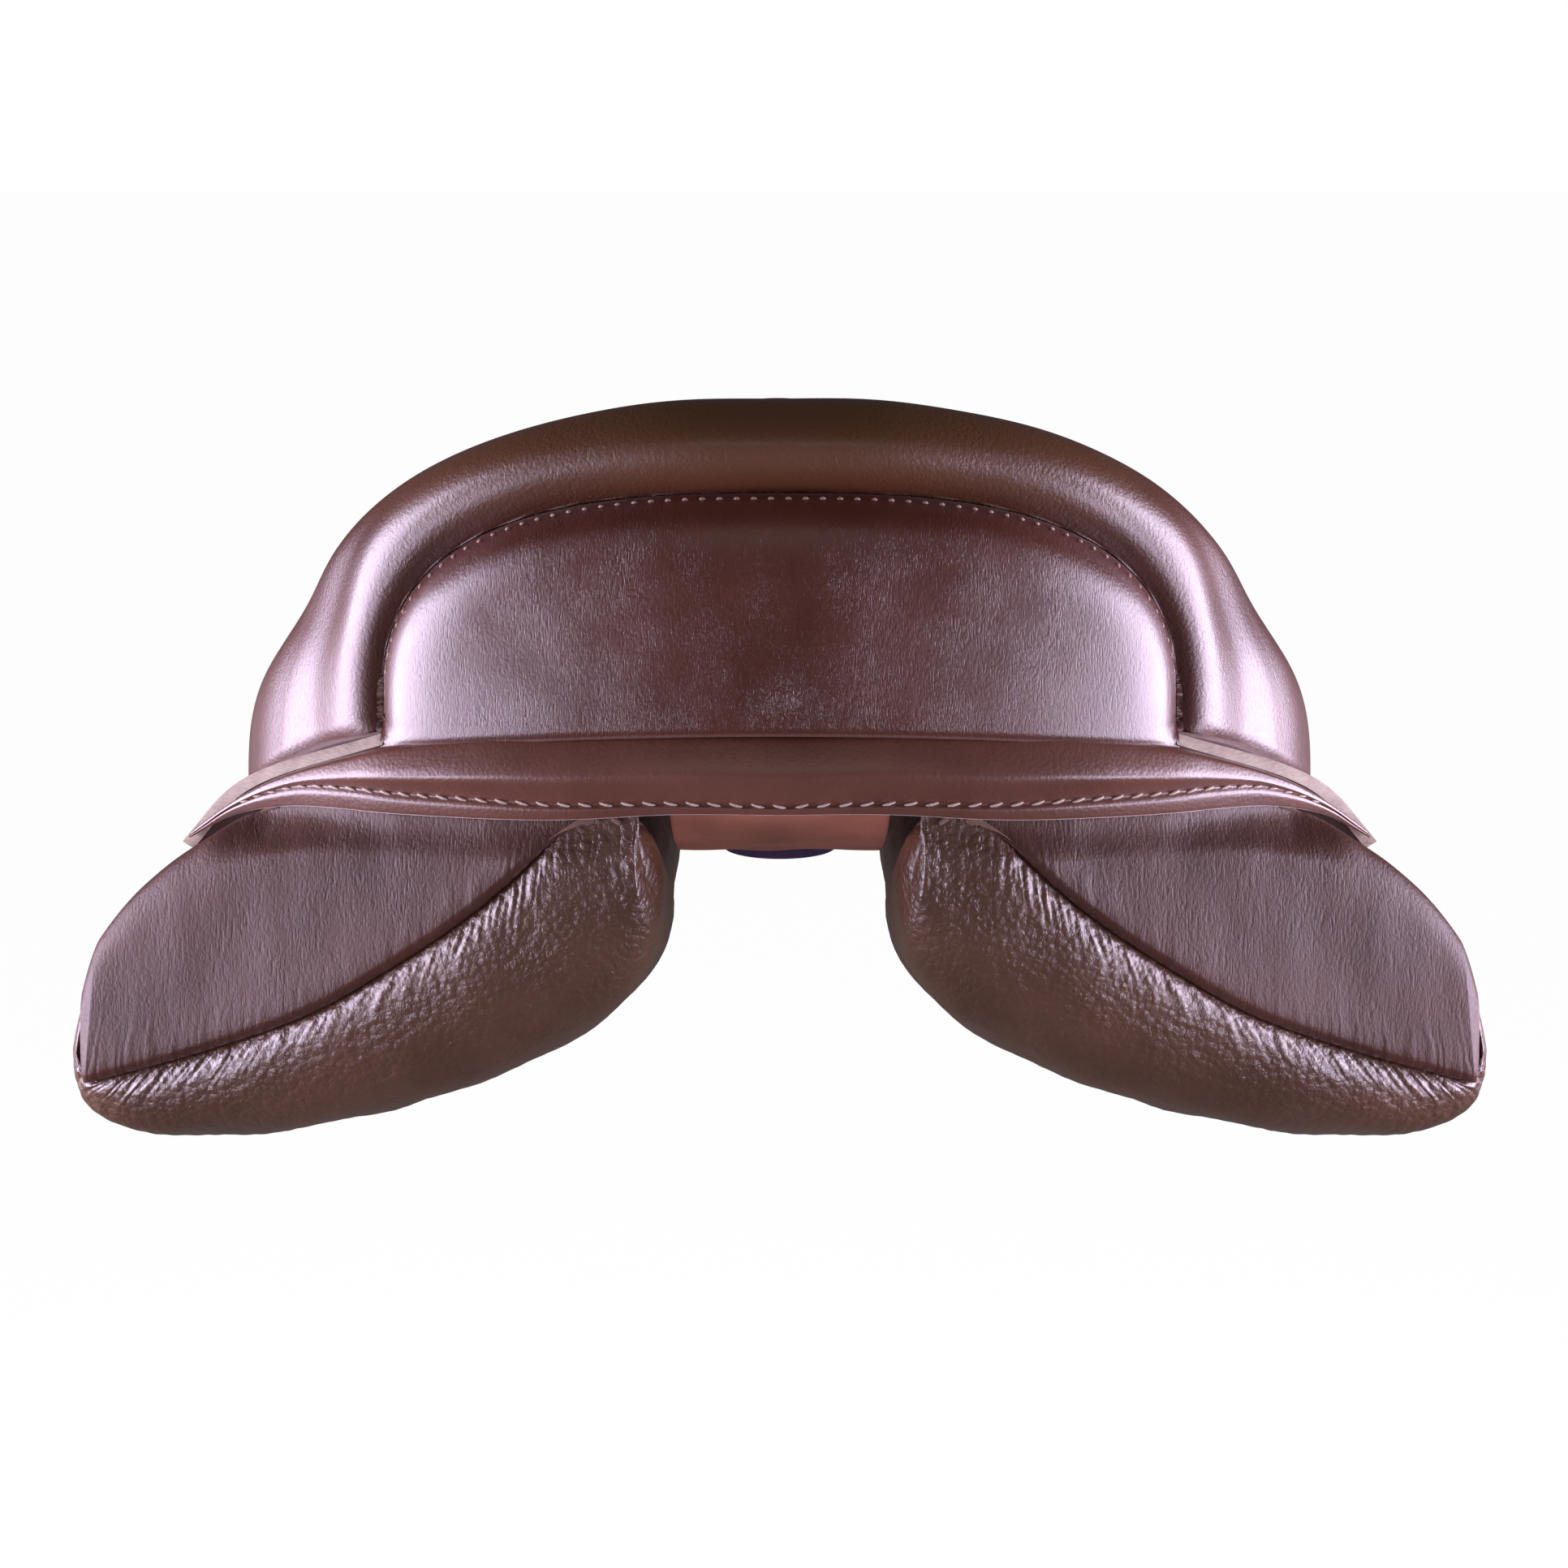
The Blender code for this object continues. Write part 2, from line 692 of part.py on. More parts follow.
def set_origin(thing, point, side):
    """Put an object's origin on its joint's axis, its shape unmoved."""
    place = Vector((point[0] * side, point[1], point[2]))
    thing.data.transform(Matrix.Translation(-place))
    thing.location = place


# Stirrup bar

def box(name, low, high, material):
    shape = bmesh.new()
    size = [b - a for a, b in zip(low, high)]
    middle = [(a + b) / 2 for a, b in zip(low, high)]
    bmesh.ops.create_cube(shape, size=1.0,
                          matrix=Matrix.Translation(middle) @ Matrix.Diagonal((*size, 1.0)))
    mesh = bpy.data.meshes.new(name)
    shape.to_mesh(mesh)
    shape.free()
    return add_object(name, mesh, material)


def rod(name, start, length, radius, material, segments=16):
    """Cylinder along X from a start point."""
    shape = bmesh.new()
    matrix = (Matrix.Translation((start[0] + length / 2, start[1], start[2]))
              @ Matrix.Rotation(math.pi / 2, 4, "Y"))
    bmesh.ops.create_cone(shape, cap_ends=True, segments=segments, radius1=radius,
                          radius2=radius, depth=length, matrix=matrix)
    mesh = bpy.data.meshes.new(name)
    shape.to_mesh(mesh)
    shape.free()
    return add_object(name, mesh, material)


def combine(target, other, operation):
    """Boolean of two objects; the second becomes a hidden cutter."""
    step = target.modifiers.new(operation.lower(), "BOOLEAN")
    step.operation = operation
    step.solver = "EXACT"
    step.object = other
    other.hide_render = True
    other.display_type = "WIRE"
    bpy.data.collections["close_contact_saddle"].objects.unlink(other)
    bpy.data.collections["cutters"].objects.link(other)


def bar_centre():
    """Middle of the plate's inner face, set against the rail's outer edge."""
    places = np.linspace(bar_place - bar_length / 2, bar_place + bar_length / 2, 25)
    reach = max(rail_edge(y)[0] + (y - bar_place) * math.tan(bar_turn) for y in places)
    return reach + gap / math.cos(bar_turn), bar_place, rail_edge(bar_place)[1] - bar_drop


def place_beside(thing, side):
    """Turn and move a part of the stirrup bar from its own frame to its place."""
    if side < 0:
        thing.data.transform(Matrix.Diagonal((-1, 1, 1, 1)))
        thing.data.flip_normals()
    turn = Matrix.Rotation(bar_turn * side, 4, "Z")
    x, y, z = bar_centre()
    thing.matrix_world = Matrix.Translation((x * side, y, z)) @ turn


def stirrup_bar(side, steel):
    """Forged bar: plate on the rail, bend in front, and the rod that the leather hangs on."""
    half = bar_length / 2
    rod_in = bar_plate_thickness + bar_slot
    rod_out = rod_in + bar_rod_width
    low = -bar_rod_height / 2
    pin_y = -half + bar_pin_place
    plate = box(side_name("stirrup_bar", side), (0.0, -half, -bar_plate_height / 2),
                (bar_plate_thickness, half, bar_plate_height / 2), steel)
    bend = box(side_name("bar_bend", side), (bar_plate_thickness / 2, half - 0.007, low + 0.0005),
               (rod_out - 0.001, half - 0.0005, -low - 0.0005), steel)
    bar = box(side_name("bar_rod", side), (rod_in, -half + 0.0085, low),
              (rod_out, half - 0.001, -low), steel)
    tongue = box(side_name("bar_tongue", side), (rod_in + 0.0002, -half, low + 0.0002),
                 (rod_out - catch_width - gap, -half + 0.012, -low - 0.0002), steel)
    hole = rod(side_name("bar_hole", side), (rod_in - 0.002, pin_y, 0.0), bar_rod_width + 0.004,
               pin_radius + gap, steel)
    for other in (bend, bar, tongue):
        combine(plate, other, "UNION")
        place_beside(other, side)
    combine(plate, hole, "DIFFERENCE")
    place_beside(hole, side)
    place_beside(plate, side)


def bar_catch(side, steel):
    """Thumb catch beside the rod's tongue, turning up on its pin, and the pin."""
    half = bar_length / 2
    rod_out = bar_plate_thickness + bar_slot + bar_rod_width
    pin_y = -half + bar_pin_place
    catch = box(side_name("bar_catch", side),
                (rod_out - catch_width, pin_y - catch_length, -catch_half_height),
                (rod_out, pin_y + catch_heel, catch_half_height), steel)
    hole = rod(side_name("catch_hole", side), (rod_out - catch_width - 0.002, pin_y, 0.0),
               catch_width + 0.004, pin_radius + gap, steel)
    combine(catch, hole, "DIFFERENCE")
    for thing in (hole, catch):
        place_beside(thing, side)
    start = bar_plate_thickness + bar_slot - gap - 0.001
    pin = rod(side_name("catch_pin", side), (start, pin_y, 0.0),
              bar_rod_width + 2 * gap + 0.002, pin_radius, steel)
    place_beside(pin, side)


# Dee ring

def dee_point(across, along, up):
    """Point beside the dee ring's hinge, turned to lie along the seat's edge."""
    x, y, z = dee_place
    return (x + across * math.cos(dee_turn) - along * math.sin(dee_turn),
            y + across * math.sin(dee_turn) + along * math.cos(dee_turn), z + up)


def dee_ring(side, brass, leather):
    """Ring that hangs from a folded leather chape on the seat's side."""
    half = dee_width / 2
    points = [dee_point(0.0, -half, 0.0), dee_point(0.0, half, 0.0)]
    for k in range(1, 12):
        angle = math.pi * k / 12
        points.append(dee_point(0.0, half * math.cos(angle), -dee_height * math.sin(angle) ** 0.8))
    tube(side_name("dee_ring", side), points, dee_wire, brass, side, closed=True)
    outer = chape_bore + chape_thickness
    profile = [(chape_tail[0] + outer, chape_tail[1])]
    for k in range(9):
        angle = math.radians(50 - 260 * k / 8)
        profile.append((outer * math.cos(angle), outer * math.sin(angle)))
    rows = [[dee_point(across, along, up) for across, up in profile]
            for along in (-chape_width / 2, chape_width / 2)]
    sheet(side_name("dee_chape", side), rows, chape_thickness, leather, side)


def pommel_nail(side, brass):
    """Domed nail head on the seat's side near the pommel."""
    profile = [(0.0, nail_height)]
    for k in range(1, 5):
        angle = math.pi / 2 * k / 4
        profile.append((nail_radius * math.sin(angle), nail_height * math.cos(angle)))
    profile.append((0.0, 0.0))
    shape = bmesh.new()
    verts = [shape.verts.new((px, 0.0, pz)) for px, pz in profile]
    for a, b in zip(verts, verts[1:]):
        shape.edges.new((a, b))
    mesh = bpy.data.meshes.new(side_name("pommel_nail", side))
    shape.to_mesh(mesh)
    shape.free()
    nail = add_object(side_name("pommel_nail", side), mesh, brass)
    turn = nail.modifiers.new("turn", "SCREW")
    turn.steps = turn.render_steps = 16
    turn.use_merge_vertices = True
    turn.merge_threshold = 0.00001
    rows = seat_grid()
    row, column = nail_spot
    normal = Vector(grid_normals(rows)[row][column])
    spot = Vector(rows[row][column]) + normal * 2 * gap
    spot.x *= side
    normal.x *= side
    nail.matrix_world = (Matrix.Translation(spot)
                         @ normal.to_track_quat("Z", "Y").to_matrix().to_4x4())


# Panels

def panel_stations():
    """Each holds y at the channel and at the outer side, the sag of the section, then its four
    corners: top inner, top outer, bottom outer, bottom inner, as half width and height."""
    depth = sweat_offset + sweat_thickness + panel_clearance

    def side_x(y, z):
        return skin_x(y, z, depth), z

    def arch_x(z):
        line = arch_points(tree_thickness + plate_thickness + 3 * gap, 25)
        return np.interp(-z, -line[:, 1], line[:, 0]), z

    c = channel_half
    return [
        (-0.250, -0.204, 0.012, (0.062, 0.0730), (0.211, -0.0160), (0.212, -0.0280), (0.056, 0.0640)),
        (-0.2455, -0.200, 0.006, (0.044, 0.0705), (0.195, 0.0480), (0.222, -0.0460), (0.040, 0.0330)),
        (-0.234, -0.190, 0.0, (0.031, 0.0700), (0.187, 0.0610), (0.226, -0.0540), (0.037, 0.0010)),
        (-0.205, -0.172, 0.0, (c, 0.0560), (0.170, 0.0470), (0.221, -0.0580), (0.035, -0.0040)),
        (-0.160, -0.140, 0.0, (c + 0.001, 0.0400), (0.158, 0.0430), (0.213, -0.0590),
         (c + 0.009, -0.0100)),
        (-0.100, -0.100, 0.0, (c + 0.002, 0.0320), side_x(-0.10, 0.035), side_x(-0.10, -0.058),
         (c + 0.011, -0.0180)),
        (-0.030, -0.030, 0.0, (c + 0.003, 0.0350), side_x(-0.03, 0.036), side_x(-0.03, -0.068),
         (c + 0.015, -0.0300)),
        (0.050, 0.050, 0.0, (c + 0.004, 0.0440), side_x(0.05, 0.036), side_x(0.05, -0.080),
         (c + 0.023, -0.0380)),
        (0.102, 0.102, 0.0, (c + 0.002, 0.0560), (0.108, 0.0260), (0.164, -0.0880),
         (c + 0.034, -0.0440)),
        (0.140, 0.140, 0.0, (c, 0.0640), arch_x(0.053), (0.148, -0.0880), (c + 0.050, -0.0560)),
        (0.170, 0.170, 0.0, (c, 0.0680), arch_x(0.056), (0.144, -0.0840), (c + 0.058, -0.0600)),
        (0.194, 0.194, 0.0, (c + 0.004, 0.0660), (0.062, 0.0540), (0.134, -0.0740),
         (c + 0.060, -0.0540)),
        (0.204, 0.204, 0.0, (c + 0.014, 0.0540), (0.062, 0.0440), (0.120, -0.0560),
         (c + 0.058, -0.0400)),
    ]


def panel_ring(station):
    """Rounded section inside its four corners."""
    y_in, y_out, sag, top_in, top_out, low_out, low_in = station
    ring = []
    for k in range(panel_ring_points):
        angle = 2 * math.pi * (k + 0.5) / panel_ring_points
        u = math.copysign(abs(math.cos(angle)) ** (2 / panel_rounding), math.cos(angle))
        v = math.copysign(abs(math.sin(angle)) ** (2 / panel_rounding), math.sin(angle))
        across, up = (u + 1) / 2, (v + 1) / 2
        low = np.array(low_in) * (1 - across) + np.array(low_out) * across
        top = np.array(top_in) * (1 - across) + np.array(top_out) * across
        x, z = low * (1 - up) + top * up
        ring.append((x, y_in + (y_out - y_in) * across, z - sag * 4 * across * (1 - across)))
    return ring


def panel_rings():
    rings = np.array([panel_ring(station) for station in panel_stations()])
    smooth = through(rings.reshape(len(rings), -1), 2 * len(rings) - 1)
    return smooth.reshape(-1, panel_ring_points, 3)


def panel(side, leather):
    """Stuffed cushion on the horse's back, and the gusset sewn over its rear end."""
    rings = panel_rings()
    loft(side_name("panel", side), rings, leather, side)
    grid = rings[:gusset_rings, gusset_inner_end::-1]
    grid = grid + grid_normals(grid) * (gusset_lift + gusset_thickness)
    gusset = sheet(side_name("panel_gusset", side), grid, gusset_thickness, leather, side)
    gusset.modifiers["thickness"].use_even_offset = False


# Gullet lining

def gullet_lining(leather):
    rows = []
    for z, y in through(lining_line, 15):
        rows.append([(x, y, z) for x in np.linspace(-lining_half, lining_half, 5)])
    sheet("gullet_lining", rows[::-1], lining_thickness, leather)


def lining_patch(leather):
    """Half-moon tab sewn under the lining."""
    line = np.array(lining_line)
    top = np.interp(patch_place, line[:, 1], line[:, 0]) - gap
    shares = np.linspace(-0.98, 0.98, 13)
    rows = [[(patch_half * t, patch_place, top) for t in shares],
            [(patch_half * t, patch_place, top - patch_depth * crown(t, 2.0)) for t in shares]]
    sheet("lining_patch", rows[::-1], patch_thickness, leather)


def main():
    clear_scene()
    for name in ("close_contact_saddle", "cutters"):
        bpy.context.scene.collection.children.link(bpy.data.collections.new(name))
    leather = make_material("brown_leather", (0.115, 0.050, 0.045), 0.42)
    under = make_material("under_leather", (0.14, 0.065, 0.05), 0.55)
    tan = make_material("tan_leather", (0.42, 0.20, 0.12), 0.6)
    foam = make_material("seat_foam", (0.75, 0.70, 0.45), 0.9)
    wood = make_material("beech", (0.55, 0.38, 0.22), 0.6)
    steel = make_material("steel", (0.60, 0.60, 0.62), 0.3, 1.0)
    brass = make_material("brass", (0.75, 0.55, 0.25), 0.3, 1.0)
    web = make_material("web", (0.60, 0.55, 0.45), 0.9)
    blue = make_material("blue_leather", (0.10, 0.09, 0.28), 0.5)
    seat_cover(leather)
    seat_foam(foam)
    cantle_facing(leather)
    rear_band(leather)
    tree_cantle(wood)
    tree_head(wood, steel)
    head_plate(steel)
    head_facing(leather)
    pommel_facing(leather)
    seat_web(web)
    cross_web("cross_web_rear", strap_places[0], web)
    cross_web("cross_web_front", strap_places[1], web)
    gullet_lining(tan)
    lining_patch(blue)
    for side in (-1, 1):
        seat_welt(side, leather)
        tree_rail(side, wood, steel)
        flap_head(side, leather)
        flap(side, leather)
        sweat_flap(side, under)
        girth_strap("girth_strap_rear", strap_places[0], side, under)
        girth_strap("girth_strap_front", strap_places[1], side, under)
        strap_keeper(side, under)
        knee_block(side, under)
        skirt(side, leather)
        stirrup_bar(side, steel)
        bar_catch(side, steel)
        dee_ring(side, brass, leather)
        pommel_nail(side, brass)
        panel(side, leather)


main()
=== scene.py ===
import json
import math

import bmesh
import bpy
import numpy as np
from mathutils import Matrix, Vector

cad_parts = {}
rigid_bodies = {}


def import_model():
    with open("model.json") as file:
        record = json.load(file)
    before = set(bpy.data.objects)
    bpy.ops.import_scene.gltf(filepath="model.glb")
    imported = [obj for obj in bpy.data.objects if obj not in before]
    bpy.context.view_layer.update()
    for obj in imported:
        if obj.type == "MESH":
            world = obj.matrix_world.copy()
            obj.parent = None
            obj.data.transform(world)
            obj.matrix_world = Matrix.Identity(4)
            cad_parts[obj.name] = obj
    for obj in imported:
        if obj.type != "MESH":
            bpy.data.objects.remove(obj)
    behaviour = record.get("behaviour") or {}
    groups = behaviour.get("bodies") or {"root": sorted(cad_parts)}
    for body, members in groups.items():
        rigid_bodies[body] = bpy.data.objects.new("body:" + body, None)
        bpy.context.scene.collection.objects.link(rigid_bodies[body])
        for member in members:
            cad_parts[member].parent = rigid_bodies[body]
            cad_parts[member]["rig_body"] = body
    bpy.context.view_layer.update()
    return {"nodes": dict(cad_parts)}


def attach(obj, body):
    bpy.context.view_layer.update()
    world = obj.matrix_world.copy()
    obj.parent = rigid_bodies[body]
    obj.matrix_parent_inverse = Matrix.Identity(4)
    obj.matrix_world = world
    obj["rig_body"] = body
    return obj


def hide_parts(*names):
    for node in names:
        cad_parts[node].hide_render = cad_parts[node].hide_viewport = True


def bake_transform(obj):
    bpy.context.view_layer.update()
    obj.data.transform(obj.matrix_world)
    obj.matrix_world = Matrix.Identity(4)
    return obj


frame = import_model()
scene = bpy.context.scene
sides = {"right": 1, "left": -1}


def addObject(name, data):
    thing = bpy.data.objects.new(name, data)
    scene.collection.objects.link(thing)
    return thing


def turnedTo(place, aim):
    # Rotation of a camera or a lamp that looks from a place at an aim
    return (Vector(aim) - Vector(place)).to_track_quat("-Z", "Y").to_euler()


# View, as the photograph was taken: level behind the cantle, looking a little down
view = {"eye": (0.0, -1.0, 0.265), "aim": (0.0, -0.25, 0.0827), "lens": 63.9, "sensor": 36.0,
        "shift": 0.0027}


def makeCamera():
    lens = bpy.data.cameras.new("camera")
    lens.lens = view["lens"]
    lens.sensor_width = view["sensor"]
    lens.shift_x = view["shift"]
    eye = addObject("camera", lens)
    eye.location = view["eye"]
    eye.rotation_euler = turnedTo(view["eye"], view["aim"])
    scene.camera = eye


makeCamera()


# Sums on sockets

class Wire:
    # One output of a node; sums with it add Math nodes
    def __init__(self, tree, socket=None):
        self.tree = tree
        self.socket = socket

    def make(self, kind, settings=None, inputs=None, output=0):
        # Adds a node: settings first, then the values or links of its sockets
        node = self.tree.nodes.new(kind)
        for name, value in (settings or {}).items():
            setattr(node, name, value)
        for name, value in (inputs or {}).items():
            if isinstance(value, Wire):
                self.tree.links.new(value.socket, node.inputs[name])
            else:
                node.inputs[name].default_value = value
        return Wire(self.tree, node.outputs[output])

    def math(self, operation, first, second=0.0):
        return self.make("ShaderNodeMath", {"operation": operation}, {0: first, 1: second})

    def __add__(self, other):
        return self.math("ADD", self, other)

    __radd__ = __add__

    def __sub__(self, other):
        return self.math("SUBTRACT", self, other)

    def __rsub__(self, other):
        return self.math("SUBTRACT", other, self)

    def __mul__(self, other):
        return self.math("MULTIPLY", self, other)

    __rmul__ = __mul__

    def __abs__(self):
        return self.math("ABSOLUTE", self)

    def clamp(self):
        return self.make("ShaderNodeClamp", None, {"Value": self})

    def between(self, low, high):
        return self.make("ShaderNodeMapRange", None, {"Value": self, "From Min": low, "From Max": high})

    def tint(self, low, high):
        # A colour between two, by this value
        return self.make("ShaderNodeMix", {"data_type": "RGBA"}, {0: self, 6: low, 7: high}, 2)

    def scaled(self, factors):
        return self.make("ShaderNodeVectorMath", {"operation": "MULTIPLY"}, {0: self, 1: factors})

    def noise(self, scale, detail=2.0, rough=0.5):
        return self.make("ShaderNodeTexNoise", None,
                         {"Vector": self, "Scale": scale, "Detail": detail, "Roughness": rough})

    def cells(self, scale, feature="F1"):
        return self.make("ShaderNodeTexVoronoi", {"feature": feature}, {"Vector": self, "Scale": scale})

    def part(self, axis):
        return self.make("ShaderNodeSeparateXYZ", None, {0: self}, axis)


def solid(colour):
    return (*colour, 1.0)


def newFinish(name, fixed):
    material = bpy.data.materials.new(name)
    material.use_nodes = True
    shader = material.node_tree.nodes["Principled BSDF"]
    for socket, value in fixed.items():
        shader.inputs[socket].default_value = value
    return material, shader, Wire(material.node_tree)


def plug(shader, start, colour, rough, height):
    # Links a finish: heights are in metres
    bump = start.make("ShaderNodeBump", None, {"Height": height, "Distance": 1.0, "Strength": 1.0})
    for socket, wire in (("Base Color", colour), ("Roughness", rough), ("Normal", bump)):
        start.tree.links.new(wire.socket, shader.inputs[socket])


# Finishes

leatherBase = {"base": (0.092, 0.020, 0.009), "dark": (0.062, 0.012, 0.005), "crest": None,
               "crestFrom": 0.140, "crestTo": 0.185, "rough": 0.35, "gloss": 0.95, "sheen": 0.02,
               "sheenTint": (0.80, 0.66, 0.90), "cloud": 26.0, "patch": 60.0,
               "cells": "SMOOTH_F1", "grain": 1000.0, "grainDepth": 0.00008,
               "creaseRun": (900.0, 300.0, 260.0), "creaseDepth": 0.00005, "wear": (0.16, 0.085, 0.065),
               "coat": 0.45}


def leather(name, **changes):
    look = {**leatherBase, **changes}
    material, shader, start = newFinish(name, {
        "Specular IOR Level": look["gloss"], "Sheen Weight": look["sheen"], "Sheen Roughness": 0.35,
        "Sheen Tint": solid(look["sheenTint"]), "Coat Weight": look["coat"], "Coat Roughness": 0.28})
    place = start.make("ShaderNodeTexCoord", output="Object")
    cloud = place.noise(look["cloud"], 4.0, 0.6)
    cells = place.cells(look["grain"], look["cells"])
    pores = place.noise(look["grain"] * 2.4, 1.0)
    crease = (1 - abs(place.scaled(look["creaseRun"]).noise(1.0, 3.0, 0.62) * 2 - 1) * 2.4).clamp()
    patchy = place.noise(look["patch"], 2.0)
    height = (cells * (-look["grainDepth"]) + pores * (look["grainDepth"] * 0.35)
              + crease * patchy * look["creaseDepth"])
    ridge = start.make("ShaderNodeNewGeometry", output="Pointiness").between(0.52, 0.60)
    colour = cloud.between(0.32, 0.68).tint(solid(look["dark"]), solid(look["base"]))
    if look["crest"]:
        high = place.part(2).between(look["crestFrom"], look["crestTo"])
        colour = high.tint(colour, solid(look["crest"]))
    colour = (ridge * 0.5).tint(colour, solid(look["wear"]))
    rough = look["rough"] + (cloud - 0.5) * 0.14 + cells * 0.10
    plug(shader, start, colour, rough, height)
    return material


def rawEdge(name, base, dark):
    # Cut edge of thick leather, with fibres along the cut
    material, shader, start = newFinish(name, {"Specular IOR Level": 0.35, "Sheen Weight": 0.25,
                                               "Sheen Tint": (0.95, 0.85, 0.92, 1.0)})
    place = start.make("ShaderNodeTexCoord", output="Object")
    fibres = place.scaled((300.0, 300.0, 1500.0)).noise(1.0, 4.0, 0.65)
    blotch = place.noise(140.0, 3.0)
    colour = (fibres * 0.6 + blotch * 0.4).between(0.35, 0.65).tint(solid(dark), solid(base))
    plug(shader, start, colour, 0.62 + (fibres - 0.5) * 0.25, fibres * 0.0002)
    return material


def metal(name, base, dull, rough, scratchRun):
    material, shader, start = newFinish(name, {"Metallic": 1.0})
    place = start.make("ShaderNodeTexCoord", output="Object")
    cloud = place.noise(90.0, 3.0)
    scratch = place.scaled(scratchRun).noise(1.0, 3.0)
    colour = cloud.between(0.35, 0.7).tint(solid(base), solid(dull))
    plug(shader, start, colour, rough + (scratch - 0.5) * 0.22 + cloud * 0.08, scratch * 0.00002)
    return material


def wood(name):
    material, shader, start = newFinish(name, {"Specular IOR Level": 0.4})
    place = start.make("ShaderNodeTexCoord", output="Object")
    run = place.scaled((260.0, 9.0, 260.0))
    line = run.noise(1.0, 4.0, 0.6)
    fleck = place.scaled((900.0, 70.0, 900.0)).noise(1.0, 2.0)
    colour = line.between(0.3, 0.7).tint((0.62, 0.43, 0.26, 1.0), (0.42, 0.26, 0.14, 1.0))
    plug(shader, start, colour, 0.5 + (fleck - 0.5) * 0.2, line * 0.00008 + fleck * 0.00003)
    return material


def weave(name, base, dark, pitch):
    # Plain weave of threads along X and Y
    material, shader, start = newFinish(name, {"Sheen Weight": 0.3})
    place = start.make("ShaderNodeTexCoord", output="Object")
    turn = 2 * math.pi / pitch
    across = start.math("SINE", place.part(0) * turn)
    along = start.math("SINE", place.part(1) * turn)
    fuzz = place.noise(2200.0, 2.0)
    pattern = (across * along * 0.5 + 0.5) * 0.7 + fuzz * 0.3
    colour = pattern.tint(solid(dark), solid(base))
    plug(shader, start, colour, 0.85 + fuzz * 0.1, pattern * 0.0003)
    return material


def foamFinish(name):
    material, shader, start = newFinish(name, {"Sheen Weight": 0.2})
    place = start.make("ShaderNodeTexCoord", output="Object")
    bubbles = place.cells(700.0)
    colour = bubbles.tint((0.55, 0.47, 0.22, 1.0), (0.80, 0.74, 0.45, 1.0))
    plug(shader, start, colour, 0.85 + bubbles * 0.1, bubbles * 0.0004)
    return material


def thread(name, base, dark):
    material, shader, start = newFinish(name, {"Sheen Weight": 0.4})
    place = start.make("ShaderNodeTexCoord", output="Object")
    twist = place.scaled((2600.0, 2600.0, 900.0)).noise(1.0, 2.0)
    colour = twist.between(0.3, 0.7).tint(solid(dark), solid(base))
    plug(shader, start, colour, 0.6 + twist * 0.2, twist * 0.0001)
    return material


seatLeather = leather("seat leather", crest=(0.098, 0.036, 0.006), rough=0.37,
                      creaseRun=(520.0, 520.0, 300.0), creaseDepth=0.00012)
facingLeather = leather("facing leather", base=(0.084, 0.016, 0.006), dark=(0.058, 0.010, 0.003),
                        creaseRun=(1500.0, 420.0, 260.0), creaseDepth=0.00011,
                        grainDepth=0.00005, rough=0.30)
bandLeather = leather("band leather", base=(0.145, 0.050, 0.030), dark=(0.098, 0.032, 0.018),
                      creaseDepth=0.00003, rough=0.32)
gussetLeather = leather("gusset leather", base=(0.076, 0.026, 0.014), dark=(0.049, 0.015, 0.008),
                        creaseRun=(720.0, 240.0, 160.0), creaseDepth=0.00017, rough=0.44, gloss=0.45,
                        coat=0.0)
panelLeather = leather("panel leather", base=(0.102, 0.042, 0.020), dark=(0.064, 0.024, 0.010),
                       creaseRun=(460.0, 400.0, 300.0), creaseDepth=0.00022, grain=430.0, cells="F1",
                       grainDepth=0.00038, rough=0.33)
flapLeather = leather("flap leather", grain=1100.0, grainDepth=0.00004, rough=0.40)
strapLeather = leather("strap leather", base=(0.130, 0.056, 0.036), dark=(0.088, 0.036, 0.023),
                       rough=0.48, sheen=0.03)
backLeather = rawEdge("flesh side", (0.180, 0.098, 0.062), (0.120, 0.064, 0.040))
tanEdge = rawEdge("tan cut edge", (0.40, 0.33, 0.26), (0.22, 0.16, 0.12))
# Dark cut edge: the dyed rims of the sheets; on the seat's piping it is also painted shade, the dark line
# between the seat and the flap
darkEdge = rawEdge("dyed cut edge", (0.120, 0.055, 0.040), (0.070, 0.030, 0.022))
paleEdge = rawEdge("pale cut edge", (0.60, 0.50, 0.47), (0.40, 0.29, 0.26))
# Lining: tan leather, its colour made brighter than its own to paint light into the shaded channel
liningLeather = leather("lining leather", base=(0.680, 0.260, 0.145), dark=(0.500, 0.180, 0.098),
                        rough=0.6, sheen=0.1, coat=0.0, gloss=0.35)
patchLeather = leather("patch leather", base=(0.140, 0.100, 0.330), dark=(0.090, 0.065, 0.220),
                       rough=0.5, wear=(0.25, 0.20, 0.45), coat=0.0)
seamThread = thread("seam thread", (0.46, 0.29, 0.22), (0.26, 0.15, 0.11))
creamThread = thread("cream thread", (0.62, 0.50, 0.42), (0.40, 0.30, 0.24))
pinkThread = thread("pink thread", (0.78, 0.46, 0.46), (0.50, 0.26, 0.26))
steel = metal("bright steel", (0.62, 0.62, 0.64), (0.44, 0.44, 0.46), 0.26, (200.0, 900.0, 200.0))
brass = metal("polished brass", (0.78, 0.57, 0.27), (0.58, 0.40, 0.18), 0.20, (500.0, 500.0, 500.0))
beech = wood("laminated beech")
linen = weave("linen web", (0.66, 0.60, 0.48), (0.40, 0.35, 0.26), 0.0022)
latex = foamFinish("latex foam")
print("finishes made")


# Shapes

